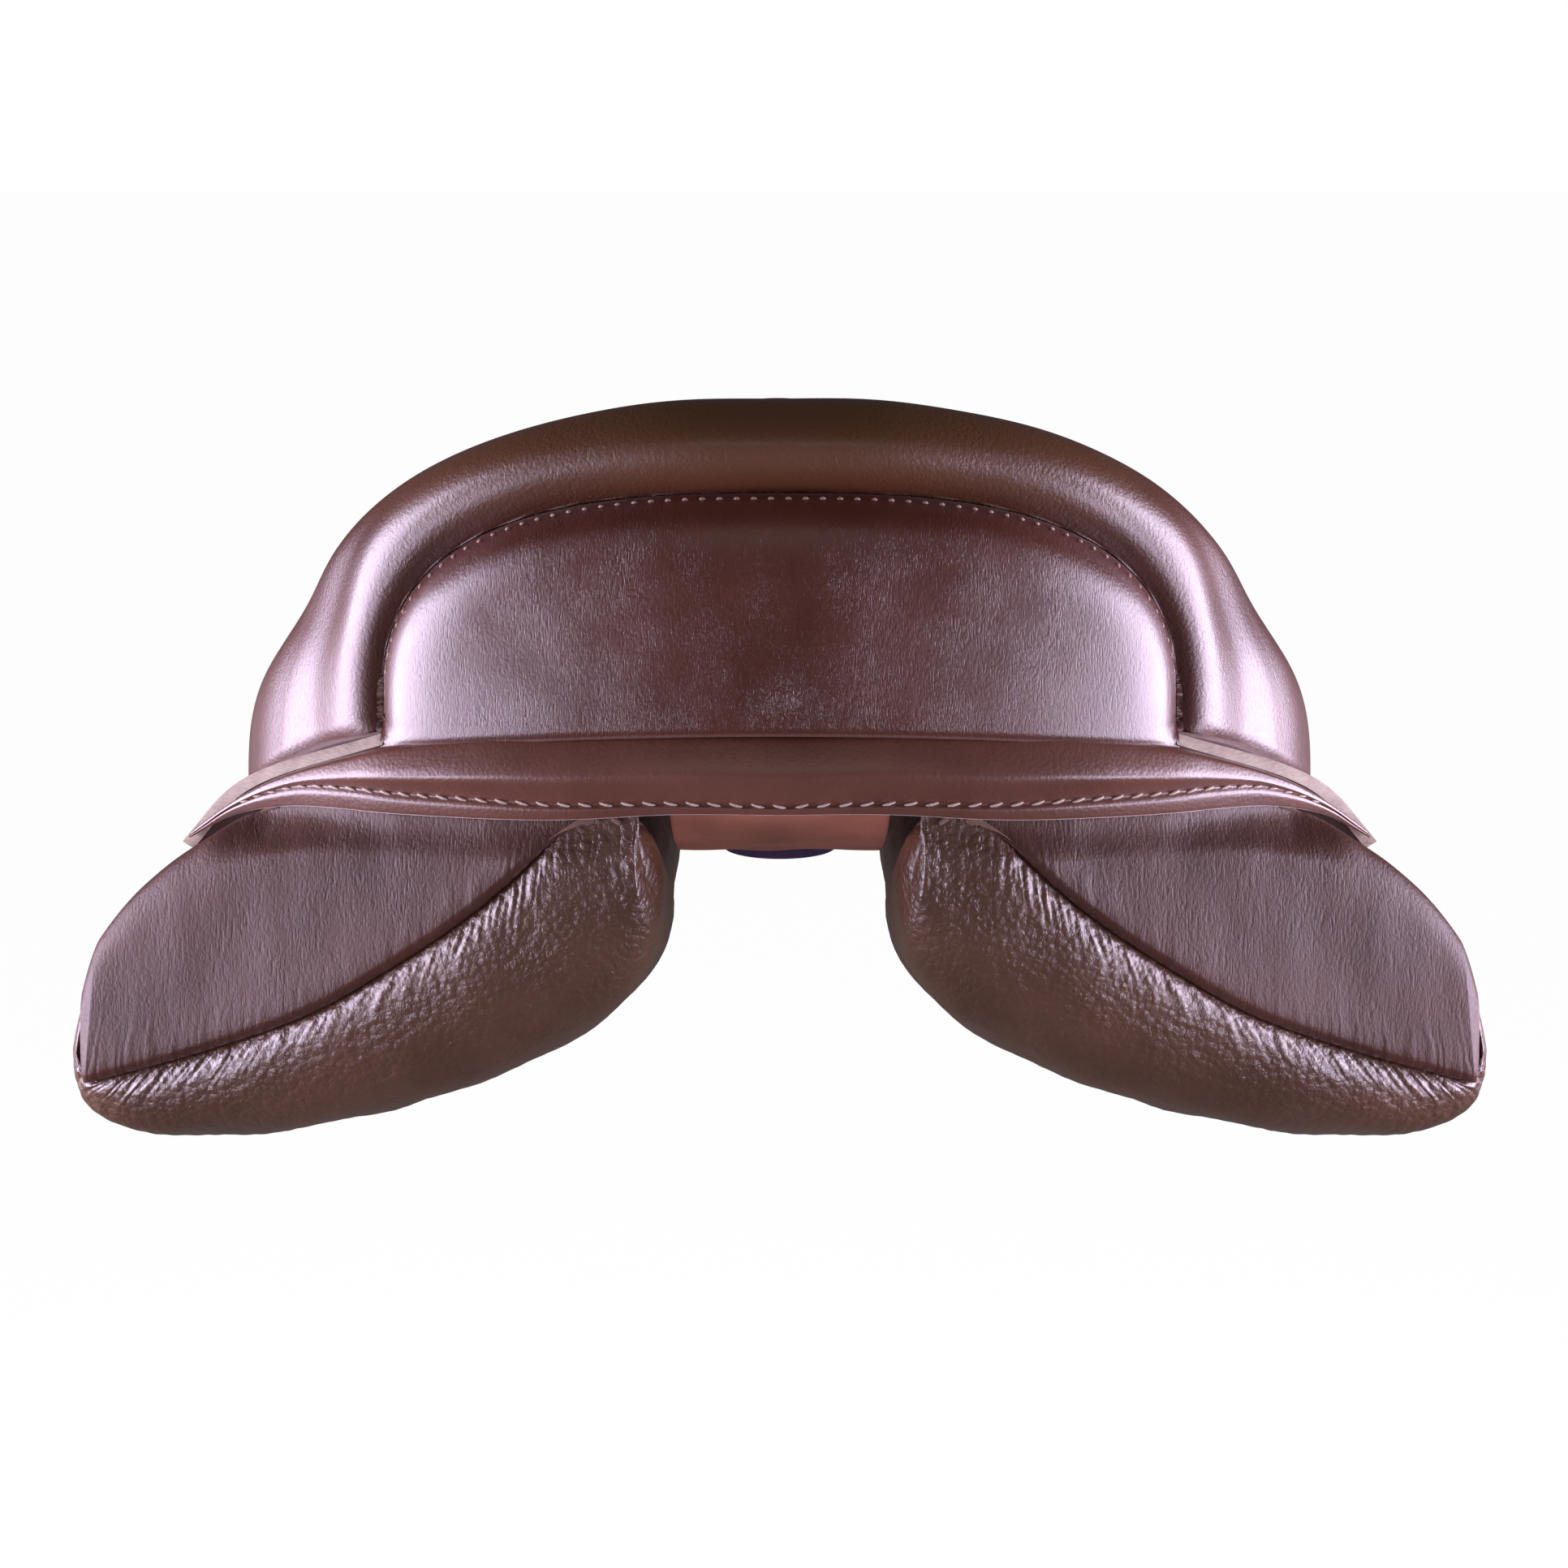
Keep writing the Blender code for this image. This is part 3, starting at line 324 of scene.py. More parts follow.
def curveAt(points, places):
    # Smooth curve through points, or through whole rows of them
    points = np.array(points, float)
    places = np.asarray(places, float)
    padded = np.concatenate([[2 * points[0] - points[1]], points, [2 * points[-1] - points[-2]]])
    index = np.clip(np.floor(places).astype(int), 0, len(points) - 2)
    t = (places - index).reshape(-1, *[1] * (points.ndim - 1))
    a, b, c, d = (padded[index + k] for k in range(4))
    return 0.5 * (2 * b + (c - a) * t + (2 * a - 5 * b + 4 * c - d) * t ** 2
                  + (3 * b - a - 3 * c + d) * t ** 3)


def spread(points, count):
    return curveAt(points, np.linspace(0, len(points) - 1, count))


def runAlong(line):
    # Distance of each point of a line from its start
    return np.concatenate([[0], np.cumsum(np.linalg.norm(np.diff(line, axis=0), axis=1))])


def evenly(line, count):
    # The same line with points at equal steps
    line = np.array(line, float)
    run = runAlong(line)
    wanted = np.linspace(0, run[-1], count)
    return np.stack([np.interp(wanted, run, line[:, k]) for k in range(line.shape[1])], 1)


def crown(t, squareness):
    return np.maximum(0.0, 1.0 - np.abs(t) ** squareness) ** (1.0 / squareness)


def gridNormals(grid, closed=False):
    if closed:
        wide = np.concatenate([grid[:, -1:], grid, grid[:, :1]], 1)
        across = (wide[:, 2:] - wide[:, :-2]) / 2
    else:
        across = np.gradient(grid, axis=1)
    normals = np.cross(across, np.gradient(grid, axis=0))
    return normals / (np.linalg.norm(normals, axis=2, keepdims=True) + 1e-12)


def turned(normals, spot, way):
    # The same normals, turned over where the one at a spot points against a direction
    return normals if normals[spot] @ np.array(way) > 0 else -normals


def unit(rows):
    return rows / np.linalg.norm(rows, axis=1, keepdims=True)


def ripple(u, v, seed, waves=10, low=0.6, high=1.6):
    # Smooth random waves of about unit height; u and v are counted in wavelengths
    chance = np.random.default_rng(seed)
    total = np.zeros(np.broadcast(u, v).shape)
    for _ in range(waves):
        turn = chance.uniform(-1.2, 1.2)
        rate = chance.uniform(low, high) * 2 * math.pi
        total += np.sin(rate * (u * math.cos(turn) + v * math.sin(turn)) + chance.uniform(0, 7))
    return total / math.sqrt(waves)


def nearest(points, line):
    # Distance of each point from a line given by close points, in lots that spare memory
    flat = points.reshape(-1, 3)
    lot = 4000
    found = [np.sqrt(((flat[i:i + lot, None] - line[None]) ** 2).sum(2).min(1))
             for i in range(0, len(flat), lot)]
    return np.concatenate(found).reshape(points.shape[:-1])


def gridFaces(rows, columns, closed=False, first=0):
    faces = []
    for i in range(rows - 1):
        base = first + i * columns
        for j in range(columns if closed else columns - 1):
            k = (j + 1) % columns
            faces.append((base + j, base + k, base + columns + k, base + columns + j))
    return faces


def addMesh(name, points, faces, finishes, side=1, front=None):
    # Mesh of the right side's points, mirrored for the left; front is the way an open sheet looks
    points = np.array(points, float).reshape(-1, 3) * (side, 1, 1)
    if front is not None:
        corners = points[np.array([face[:3] for face in faces])]
        lean = np.cross(corners[:, 1] - corners[:, 0], corners[:, 2] - corners[:, 0]).sum(0)
        if lean @ (np.array(front) * (side, 1, 1)) < 0:
            faces = [face[::-1] for face in faces]
    mesh = bpy.data.meshes.new(name)
    mesh.from_pydata(points.tolist(), [], faces)
    if front is None:
        shape = bmesh.new()
        shape.from_mesh(mesh)
        bmesh.ops.recalc_face_normals(shape, faces=shape.faces)
        shape.to_mesh(mesh)
        shape.free()
    mesh.shade_smooth()
    for finish in finishes:
        mesh.materials.append(finish)
    return addObject(name, mesh)


def roundEdges(piece, width, degrees):
    rounding = piece.modifiers.new("edge", "BEVEL")
    rounding.width = width
    rounding.segments = 2
    rounding.angle_limit = math.radians(degrees)


def addThickness(piece, thickness, edge=True):
    # Second side and rim of a sheet, its cut edge a little rounded
    shell = piece.modifiers.new("thickness", "SOLIDIFY")
    shell.thickness = thickness
    shell.offset = -1.0
    if edge:
        shell.material_offset_rim = 1
        shell.material_offset = 2
    roundEdges(piece, min(0.0006, thickness * 0.3), 55)
    return piece


def sheetPiece(name, grid, thickness, finishes, front, side=1):
    grid = np.array(grid)
    piece = addMesh(name, grid, gridFaces(*grid.shape[:2]), finishes, side, front)
    return addThickness(piece, thickness, len(finishes) > 1)


def ringPiece(name, rings, finishes, side=1):
    # Closed body through rings, its ends closed by fans
    rings = np.array(rings)
    count, size = rings.shape[:2]
    points = np.concatenate([rings.reshape(-1, 3), [rings[0].mean(0), rings[-1].mean(0)]])
    faces = gridFaces(count, size, True)
    for first, middle in ((0, count * size), ((count - 1) * size, count * size + 1)):
        faces += [(first + i, first + (i + 1) % size, middle) for i in range(size)]
    return addMesh(name, points, faces, finishes, side)


def settle(piece, body, nodes=(), fill=None):
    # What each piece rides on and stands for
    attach(piece, body)
    declare(nodes)


def declare(nodes):
    if nodes:
        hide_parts(*nodes)


def stitches(name, line, normals, look, finish):
    # Row of small raised stitches along a line of close points
    line, normals = np.array(line, float), np.array(normals, float)
    run = runAlong(line)
    count = int(run[-1] / look["pitch"])
    reach = 0.001   # how far to either side the row's direction is read
    template = bmesh.new()
    bmesh.ops.create_uvsphere(template, u_segments=8, v_segments=6, radius=1.0)
    ball = np.array([v.co for v in template.verts])
    ballFaces = [[v.index for v in face.verts] for face in template.faces]
    template.free()

    def at(rows, s):
        return np.array([np.interp(s, run, rows[:, i]) for i in range(3)])

    points, faces = [], []
    for k in range(count):
        s = (k + 0.5) * run[-1] / count
        spot = at(line, s)
        along = at(line, min(s + reach, run[-1])) - at(line, max(s - reach, 0))
        along /= np.linalg.norm(along)
        up = at(normals, s)
        up -= along * (up @ along)
        up /= np.linalg.norm(up)
        across = np.cross(up, along)
        slant = look.get("slant", 0.0) * (-1 if spot[0] < 0 else 1)
        way = along * math.cos(slant) + across * math.sin(slant)
        over = np.cross(up, way)
        arch = np.outer(1 - ball[:, 0] ** 2, up) * look["radius"] * 0.5
        body = (np.outer(ball[:, 0], way) * look["length"] / 2
                + np.outer(ball[:, 1], over) * look["radius"]
                + np.outer(ball[:, 2], up) * look["radius"] + arch)
        faces += [[i + len(points) * len(ball) for i in face] for face in ballFaces]
        points.append(body + spot + up * look.get("lift", 0.0))
    return addMesh(name, np.concatenate(points), faces, [finish])


# Seat: sections from the pommel to the cantle seam, each with y at the centre, y at the edge,
# half width, edge height, crown height and squareness
seat = {"sections": [(0.203, 0.184, 0.048, 0.108, 0.128, 2.0), (0.197, 0.180, 0.057, 0.105, 0.1412, 2.0),
                     (0.172, 0.162, 0.066, 0.101, 0.1458, 2.0), (0.128, 0.122, 0.076, 0.095, 0.139, 2.0),
                     (0.078, 0.076, 0.092, 0.087, 0.122, 2.0), (0.020, 0.020, 0.113, 0.077, 0.106, 2.1),
                     (-0.040, -0.038, 0.137, 0.067, 0.098, 2.4),
                     (-0.100, -0.095, 0.160, 0.059, 0.105, 2.8),
                     (-0.150, -0.138, 0.168, 0.059, 0.127, 3.0),
                     (-0.190, -0.166, 0.162, 0.067, 0.158, 2.8),
                     (-0.217, -0.184, 0.151, 0.0765, 0.180, 2.5),
                     (-0.235, -0.198, 0.139, 0.0845, 0.1875, 2.4),
                     (-0.249, -0.213, 0.127, 0.0905, 0.178, 2.7),
                     (-0.2475, -0.221, 0.1145, 0.094, 0.163, 2.6)],
        "rows": 150, "columns": 190, "thickness": 0.0026, "hem": (0.0018, 0.0034),
        "grooveDepth": 0.0052, "grooveWidth": 0.0048, "swell": 0.0003, "tuck": 0.00012,
        "dent": 0.0046, "dentHeight": 0.121, "dentAt": -0.18, "dentLean": 0.15, "dentWidth": 0.0160,
        "slack": 0.0036, "slackHeight": 0.112, "slackWidth": 0.036,
        "dentFrom": -0.120, "dentFade": 0.012, "dentHalf": 0.1, "dentClear": 0.040}


def seatRow(section, count=721):
    yCentre, yEdge, half, edge, top, squareness = section
    t = np.sin(np.linspace(-math.pi / 2, math.pi / 2, count))
    return np.stack([half * t, yCentre + (yEdge - yCentre) * t ** 2,
                     edge + (top - edge) * crown(t, squareness)], 1)


def seatGrid(rows, columns):
    # Close steps at the cantle roll, wider ones along the seat
    last = len(seat["sections"]) - 1
    places = last * (1 - (1 - np.linspace(0, 1, rows)) ** 1.6)
    return np.array([evenly(seatRow(section), columns) for section in curveAt(seat["sections"], places)])


def dented(grid):
    # Narrow dent and wide slack where the roll of the cantle meets the flank
    x, y, z = grid[..., 0], grid[..., 1], grid[..., 2]
    height = seat["dentHeight"] - (y - seat["dentAt"]) * seat["dentLean"]
    narrow = np.exp(-((z - height) / seat["dentWidth"]) ** 2) * seat["dent"]
    wide = np.exp(-((z - seat["slackHeight"]) / seat["slackWidth"]) ** 2) * seat["slack"]
    clear = 1 - np.exp(-(nearest(grid, seamLine()) / seat["dentClear"]) ** 1.7)
    behind = 1 / (1 + np.exp((y - seat["dentFrom"]) / seat["dentFade"]))
    flank = np.clip(np.abs(x) / seat["dentHalf"], 0, 1) ** 2
    moved = grid.copy()
    moved[..., 0] -= np.sign(x) * (narrow + wide) * clear * behind * flank
    return moved


def seamLine(count=400):
    return evenly(seatRow(seat["sections"][-1]), count)


def grooved(grid):
    # The cover drawn in at the cantle seam
    away = nearest(grid, seamLine()) / seat["grooveWidth"]
    grid[:, :, 1] += seat["grooveDepth"] * np.exp(-away ** 1.3)
    return grid


def makeSeat():
    grid = grooved(dented(seatGrid(seat["rows"], seat["columns"])))
    normals = turned(gridNormals(grid), (seat["rows"] // 2, seat["columns"] // 2), (0, 0, 1))
    swell = ripple(grid[:, :, 0] / 0.06, grid[:, :, 1] / 0.07, 11) * seat["swell"]
    edge = np.abs(np.linspace(-1, 1, seat["columns"]))[None, :]
    tuck = ripple(grid[:, :, 1] / 0.020, grid[:, :, 2] / 0.08, 12) * seat["tuck"] * edge ** 10
    grid += normals * (swell + tuck)[:, :, None]
    inward, down = seat["hem"]
    grid = np.concatenate([grid[:, :1] + (inward, 0, -down), grid, grid[:, -1:] - (inward, 0, down)], 1)
    piece = sheetPiece("seat_leather", grid, seat["thickness"], [seatLeather, darkEdge, backLeather],
                       (0, 0, 1))
    settle(piece, "saddle", ["seat_cover"], 0.7)


# Facing: the padded piece under the cantle seam
facing = {"margin": 0.0003, "low": 0.0970, "cornerDrop": 0.0100, "thickness": 0.0018,
          "puff": 0.0046, "puffWidth": 0.0040, "pillow": 0.0026, "pillowWidth": 0.0130,
          "belly": 0.0008, "grooveWidth": 0.0030, "hemTuck": 0.0008, "hemWidth": 0.0016,
          "rows": 110, "columns": 300, "stitchIn": 0.0016, "stitchEnds": 16,
          "stitch": {"pitch": 0.0047, "length": 0.0018, "radius": 0.00042, "lift": 0.0001}}


def facingShift(away):
    # How far the facing lies forward of the seam: drawn in beside it, then stuffed
    puff = facing["puff"] * (1 - np.exp(-(away / facing["puffWidth"]) ** 1.15))
    puff += facing["pillow"] * (1 - np.exp(-(away / facing["pillowWidth"]) ** 2))
    return seat["grooveDepth"] * np.exp(-(away / facing["grooveWidth"]) ** 1.3) - puff


def facingGrid():
    yCentre, yEdge, half, edge, top, squareness = seat["sections"][-1]
    margin = facing["margin"]
    shrunk = (yCentre, yEdge, half - margin, edge - margin, top - margin, squareness)
    upper = evenly(seatRow(shrunk), facing["columns"])
    t = upper[:, 0] / (half - margin)
    lower = np.stack([upper[:, 0], upper[:, 1], facing["low"] - facing["cornerDrop"] * t ** 2], 1)
    share = np.linspace(0, 1, facing["rows"])[:, None, None]
    grid = lower * (1 - share) + upper * share
    away = nearest(grid, seamLine())
    hem = grid[:, :, 2] - lower[None, :, 2]
    tuck = facing["hemTuck"] * np.exp(-(hem / facing["hemWidth"]) ** 2)
    high = np.clip(hem / (top - facing["low"]), 0, 1)
    belly = facing["belly"] * 4 * high * (1 - high)
    grid[:, :, 1] += facingShift(away) + tuck - belly
    return grid


def makeFacing():
    piece = sheetPiece("cantle_facing_pad", facingGrid(), facing["thickness"],
                       [facingLeather, darkEdge, backLeather], (0, -1, 0))
    settle(piece, "saddle", ["cantle_facing"], 0.75)
    ends = facing["stitchEnds"]
    line = seamLine()[ends:-ends]
    inward = unit(np.array([0.0, 0.0, 0.1]) - line * (1, 0, 1))   # toward the facing's middle
    place = facing["stitchIn"]
    line += inward * place
    yCentre, yEdge, half = seat["sections"][-1][:3]
    line[:, 1] = yCentre + (yEdge - yCentre) * (line[:, 0] / half) ** 2 + facingShift(place)
    step = 0.0004
    slope = (facingShift(place + step) - facingShift(place - step)) / (2 * step)
    normals = inward * slope - (0.0, 1.0, 0.0)
    row = stitches("cantle_seam_stitches", line, normals, facing["stitch"], seamThread)
    settle(row, "saddle", ())


# Rear band: half width, y, lower edge, height of the band, and of its stitches over the edge
band = {"line": [(0.0000, -0.2515, 0.0738, 0.0238, 0.0026), (0.0300, -0.2500, 0.0735, 0.0242, 0.0034),
                 (0.0600, -0.2460, 0.0710, 0.0250, 0.0046), (0.0830, -0.2405, 0.0699, 0.0240, 0.0056),
                 (0.1100, -0.2305, 0.0688, 0.0196, 0.0063), (0.1255, -0.2225, 0.0682, 0.0150, 0.0066),
                 (0.1390, -0.2145, 0.0671, 0.0108, 0.0062), (0.1490, -0.2085, 0.0652, 0.0080, 0.0050),
                 (0.1570, -0.2032, 0.0628, 0.0056, 0.0038), (0.1650, -0.1975, 0.0592, 0.0036, 0.0026),
                 (0.1730, -0.1910, 0.0540, 0.0024, 0.0014), (0.1785, -0.1862, 0.0503, 0.0014, 0.0008)],
        "thickness": 0.0050, "bulge": 0.0040, "lean": 0.0013, "flange": 0.0026, "groove": 0.0007,
        "rollFull": 0.017, "flangeFull": 0.016, "grooveFull": 0.002, "leanFull": 0.003,
        "columns": 170, "profile": 44, "stitchHalf": 0.161, "stitchRise": 0.0002,
        "stitch": {"pitch": 0.0060, "length": 0.0042, "radius": 0.00044, "slant": 0.24}}


def bandRing(half, y, low, height, stitch):
    # Section of the band: cut edge, flange, stitched groove, roll, and the flat back. Each form
    # fades out where the band is lower than the height that gives it in full
    above = height - stitch
    roll = np.clip(above / band["rollFull"], 0, 1)
    flange = band["flange"] * min(1.0, 0.35 + height / band["flangeFull"])
    groove = band["groove"] * min(1.0, stitch / band["grooveFull"])
    lean = band["lean"] * min(1.0, stitch / band["leanFull"])
    front = [(lean, 0.0), (lean * 0.5, stitch * 0.22), (-0.0002, stitch * 0.72), (groove, stitch),
             (-0.0006 * roll, stitch + above * 0.10), (-band["bulge"] * roll, stitch + above * 0.36),
             (-band["bulge"] * 0.95 * roll, stitch + above * 0.56), (0.0, stitch + above * 0.90),
             (0.0030 * roll, height)]
    deep = flange + (band["thickness"] - flange) * roll
    back = [(deep + 0.002 * roll, height), (deep, height * 0.5), (flange, stitch), (flange, 0.0)]
    profile = np.concatenate([spread(np.array(front), band["profile"]), np.array(back)])
    return np.stack([np.full(len(profile), half), y + profile[:, 0], low + profile[:, 1]], 1)


def makeBand():
    halfLine = spread(band["line"], band["columns"])
    line = np.concatenate([halfLine[:0:-1] * (-1, 1, 1, 1, 1), halfLine])
    rings = [bandRing(*row) for row in line]
    piece = ringPiece("rear_band_roll", rings, [bandLeather, paleEdge])
    size = len(rings[0])
    # The cut edge along the band's lower side is pale
    for face in piece.data.polygons:
        around = {v % size for v in face.vertices}
        if len(face.vertices) == 4 and around <= {0, 1, size - 1}:
            face.material_index = 1
    settle(piece, "saddle", ["rear_band"], 0.6)
    stitched = line[np.abs(line[:, 0]) < band["stitchHalf"]]
    run = np.stack([stitched[:, 0], stitched[:, 1] + band["groove"] - band["stitchRise"],
                    stitched[:, 2] + stitched[:, 4]], 1)
    normals = np.tile((0.0, -1.0, 0.0), (len(run), 1))
    row = stitches("rear_band_stitches", run, normals, band["stitch"], creamThread)
    settle(row, "saddle", ())


# Panels: stuffed cushions, in sections from the rear wing to the front. Each has y at the channel
# and at the side, sag, and four corners: top inner, top outer, bottom outer, bottom inner
panelPad = {
    "sections": [
        (-0.2455, -0.2000, 0.006, (0.0360, 0.0860), (0.1930, 0.0480), (0.2290, -0.0480), (0.0410, 0.0320)),
        (-0.2340, -0.1900, 0.0, (0.0290, 0.0880), (0.1835, 0.0600), (0.2375, -0.0597), (0.0385, 0.0010)),
        (-0.2050, -0.1720, 0.0, (0.0272, 0.0660), (0.1680, 0.0470), (0.2280, -0.0640), (0.0380, -0.0040)),
        (-0.1600, -0.1400, 0.0, (0.0285, 0.0440), (0.1580, 0.0430), (0.2160, -0.0620), (0.0390, -0.0110)),
        (-0.1000, -0.1000, 0.0, (0.0300, 0.0320), (0.1566, 0.0350), (0.2097, -0.0600), (0.0420, -0.0170)),
        (-0.0300, -0.0300, 0.0, (0.0305, 0.0350), (0.1438, 0.0360), (0.2027, -0.0680), (0.0425, -0.0300)),
        (0.0500, 0.0500, 0.0, (0.0315, 0.0440), (0.1298, 0.0360), (0.1950, -0.0800), (0.0505, -0.0380)),
        (0.1020, 0.1020, 0.0, (0.0292, 0.0560), (0.1080, 0.0260), (0.1640, -0.0880), (0.0612, -0.0440)),
        (0.1400, 0.1400, 0.0, (0.0270, 0.0640), (0.0521, 0.0530), (0.1480, -0.0880), (0.0770, -0.0560)),
        (0.1700, 0.1700, 0.0, (0.0270, 0.0680), (0.0496, 0.0560), (0.1440, -0.0840), (0.0850, -0.0600)),
        (0.1940, 0.1940, 0.0, (0.0310, 0.0660), (0.0620, 0.0540), (0.1340, -0.0740), (0.0870, -0.0540)),
        (0.2040, 0.2040, 0.0, (0.0410, 0.0540), (0.0620, 0.0440), (0.1200, -0.0560), (0.0850, -0.0400))],
    "seam": [(0.0400, -0.2430, 0.0790), (0.0552, -0.2440, 0.0716), (0.0642, -0.2440, 0.0655),
             (0.0764, -0.2415, 0.0526), (0.0918, -0.2375, 0.0390), (0.1136, -0.2315, 0.0231),
             (0.1392, -0.2240, 0.0068), (0.1721, -0.2135, -0.0078), (0.2106, -0.2035, -0.0214)],
    "rounding": 2.5, "lowerPoints": 300, "upperPoints": 90, "rearRings": 120, "frontRings": 50,
    "rearPart": 3.0, "seamHeight": 0.0004, "seamPuff": 0.0050, "puffWidth": 0.0055,
    "quilt": 0.0003, "pebble": 0.00007,
    "puckerHeight": 0.0010, "puckerLength": 0.0095, "puckerPitch": 0.0032,
    "tuckDeep": 0.0032, "tuckOver": 0.012, "tuckTo": 0.170, "tuckFade": 0.020,
    "air": 25.0, "airCap": 0.0050, "frames": 20, "smoothings": 6, "roughRows": 46, "roughPoints": 60}


def roundedPlaces(angles):
    # Places across and up a section with rounded corners, each from 0 to 1
    power = 2 / panelPad["rounding"]
    return [(np.sign(wave) * np.abs(wave) ** power + 1) / 2 for wave in (np.cos(angles), np.sin(angles))]


def panelRing(section, angles):
    yIn, yOut, sag, topIn, topOut, lowOut, lowIn = section
    across, up = roundedPlaces(angles)
    low = np.array(lowIn) * (1 - across[:, None]) + np.array(lowOut) * across[:, None]
    top = np.array(topIn) * (1 - across[:, None]) + np.array(topOut) * across[:, None]
    flat = low * (1 - up[:, None]) + top * up[:, None]
    return np.stack([flat[:, 0], yIn + (yOut - yIn) * across,
                     flat[:, 1] - sag * 4 * across * (1 - across)], 1)


def seamRing(angles):
    # The wing's seam, as a ring with next to no height
    across = roundedPlaces(angles)[0]
    line = evenly(spread(panelPad["seam"], 200), 201)
    along = np.linspace(0, 1, len(line))
    ring = np.stack([np.interp(across, along, line[:, k]) for k in range(3)], 1)
    ring[:, 2] += panelPad["seamHeight"] * np.sin(angles)
    return ring


def tucked(grid):
    # Draws whatever reaches up to the band in behind it
    line = np.array(band["line"])
    half = np.abs(grid[..., 0])
    low = np.interp(half, line[:, 0], line[:, 2])
    back = np.interp(half, line[:, 0], line[:, 1]) + panelPad["tuckDeep"]
    share = np.clip((grid[..., 2] - low + panelPad["tuckOver"]) / panelPad["tuckOver"], 0, 1)
    share *= np.clip((panelPad["tuckTo"] - half) / panelPad["tuckFade"], 0, 1)
    grid[..., 1] += np.maximum(0, back - grid[..., 1]) * share * share * (3 - 2 * share)
    return grid


def panelSurface(places, angles):
    rings = [seamRing(angles)] + [panelRing(section, angles) for section in panelPad["sections"]]
    return curveAt(np.array(rings), places)


def inflated(rings, held):
    # Fills a closed cushion with air in a short cloth run, and gives how far each point moved,
    # capped and smoothed
    piece = ringPiece("cushion_try", rings, [])
    group = piece.vertex_groups.new(name="held")
    group.add([int(i) for i in np.flatnonzero(held)], 1.0, "REPLACE")
    cloth = piece.modifiers.new("air", "CLOTH")
    cloth.settings.quality = 4
    cloth.settings.mass = 0.3
    cloth.settings.use_pressure = True
    cloth.settings.uniform_pressure_force = panelPad["air"]
    cloth.settings.effector_weights.gravity = 0.0
    cloth.settings.vertex_group_mass = "held"
    cloth.point_cache.frame_start = 1
    cloth.point_cache.frame_end = panelPad["frames"]
    for number in range(1, panelPad["frames"] + 1):
        scene.frame_set(number)
    done = piece.evaluated_get(bpy.context.evaluated_depsgraph_get()).data
    moved = np.array([v.co for v in done.vertices])[:rings.shape[0] * rings.shape[1]]
    shift = moved.reshape(rings.shape) - rings
    bpy.data.objects.remove(piece)
    scene.frame_set(1)
    size = np.linalg.norm(shift, axis=2, keepdims=True)
    print("cushion swelled by up to", round(float(size.max()) * 1000, 2), "mm")
    shift *= np.minimum(1.0, panelPad["airCap"] / (size + 1e-9))
    for _ in range(panelPad["smoothings"]):
        around = np.roll(shift, 1, 1) + np.roll(shift, -1, 1)
        shift[1:-1] = (around[1:-1] + shift[:-2] + shift[2:] + 2 * shift[1:-1]) / 6
    return shift


def panelFill(places, angles):
    # The air's swell of the lower side, worked out on a coarse cushion and spread to the fine one
    last = len(panelPad["sections"])
    rows, points = panelPad["roughRows"], panelPad["roughPoints"]
    roughPlaces = np.linspace(0, last, rows)
    roughAngles = 2 * math.pi * (np.arange(points) + 0.5) / points
    rings = panelSurface(roughPlaces, roughAngles)
    # The seam, the front end, and the upper side from behind the wing are held still
    ends = (roughPlaces < 0.1) | (roughPlaces > last - 0.1)
    upper = (np.sin(roughAngles)[None, :] > -0.1) & (roughPlaces[:, None] > 1.4)
    held = upper | ends[:, None]
    shift = inflated(rings, held.ravel())
    tall = curveAt(shift, places / last * (rows - 1))
    wrapped = np.concatenate([tall[:, -2:], tall, tall[:, :3]], 1).swapaxes(0, 1)
    return curveAt(wrapped, angles / (2 * math.pi) * points - 0.5 + 2).swapaxes(0, 1)


def seamAway(grid):
    # How far each point lies from the wing's seam, along the surface
    steps = np.linalg.norm(np.diff(grid, axis=0), axis=2)
    return np.concatenate([np.zeros((1, grid.shape[1])), np.cumsum(steps, 0)])


def puckers(grid, away, seed):
    # Gathers that run away from the seam: narrow ridges of unlike reach
    lane = (runAlong(grid[1]) / panelPad["puckerPitch"])[None, :]
    sway = ripple(lane / 3, away / 0.05, seed, 8) * 0.30
    lane = lane + sway + ripple(away / 0.012, lane / 4, seed + 2) * 0.10
    tall = 1 + 0.4 * ripple(lane / 2, away / 0.03, seed + 3)
    ridge = np.abs(np.sin(math.pi * lane)) ** 0.8 * tall - 0.6
    reach = panelPad["puckerLength"] * (1 + 0.35 * ripple(lane / 3, away * 0, seed + 1))
    return ridge * np.exp(-(away / np.maximum(reach, 0.003)) ** 1.4) * (1 - np.exp(-away / 0.0014))


def swelling(away):
    # Rise of the stuffed leather beside the seam
    return panelPad["seamPuff"] * (1 - np.exp(-away / panelPad["puffWidth"])) * np.exp(-away / 0.09)


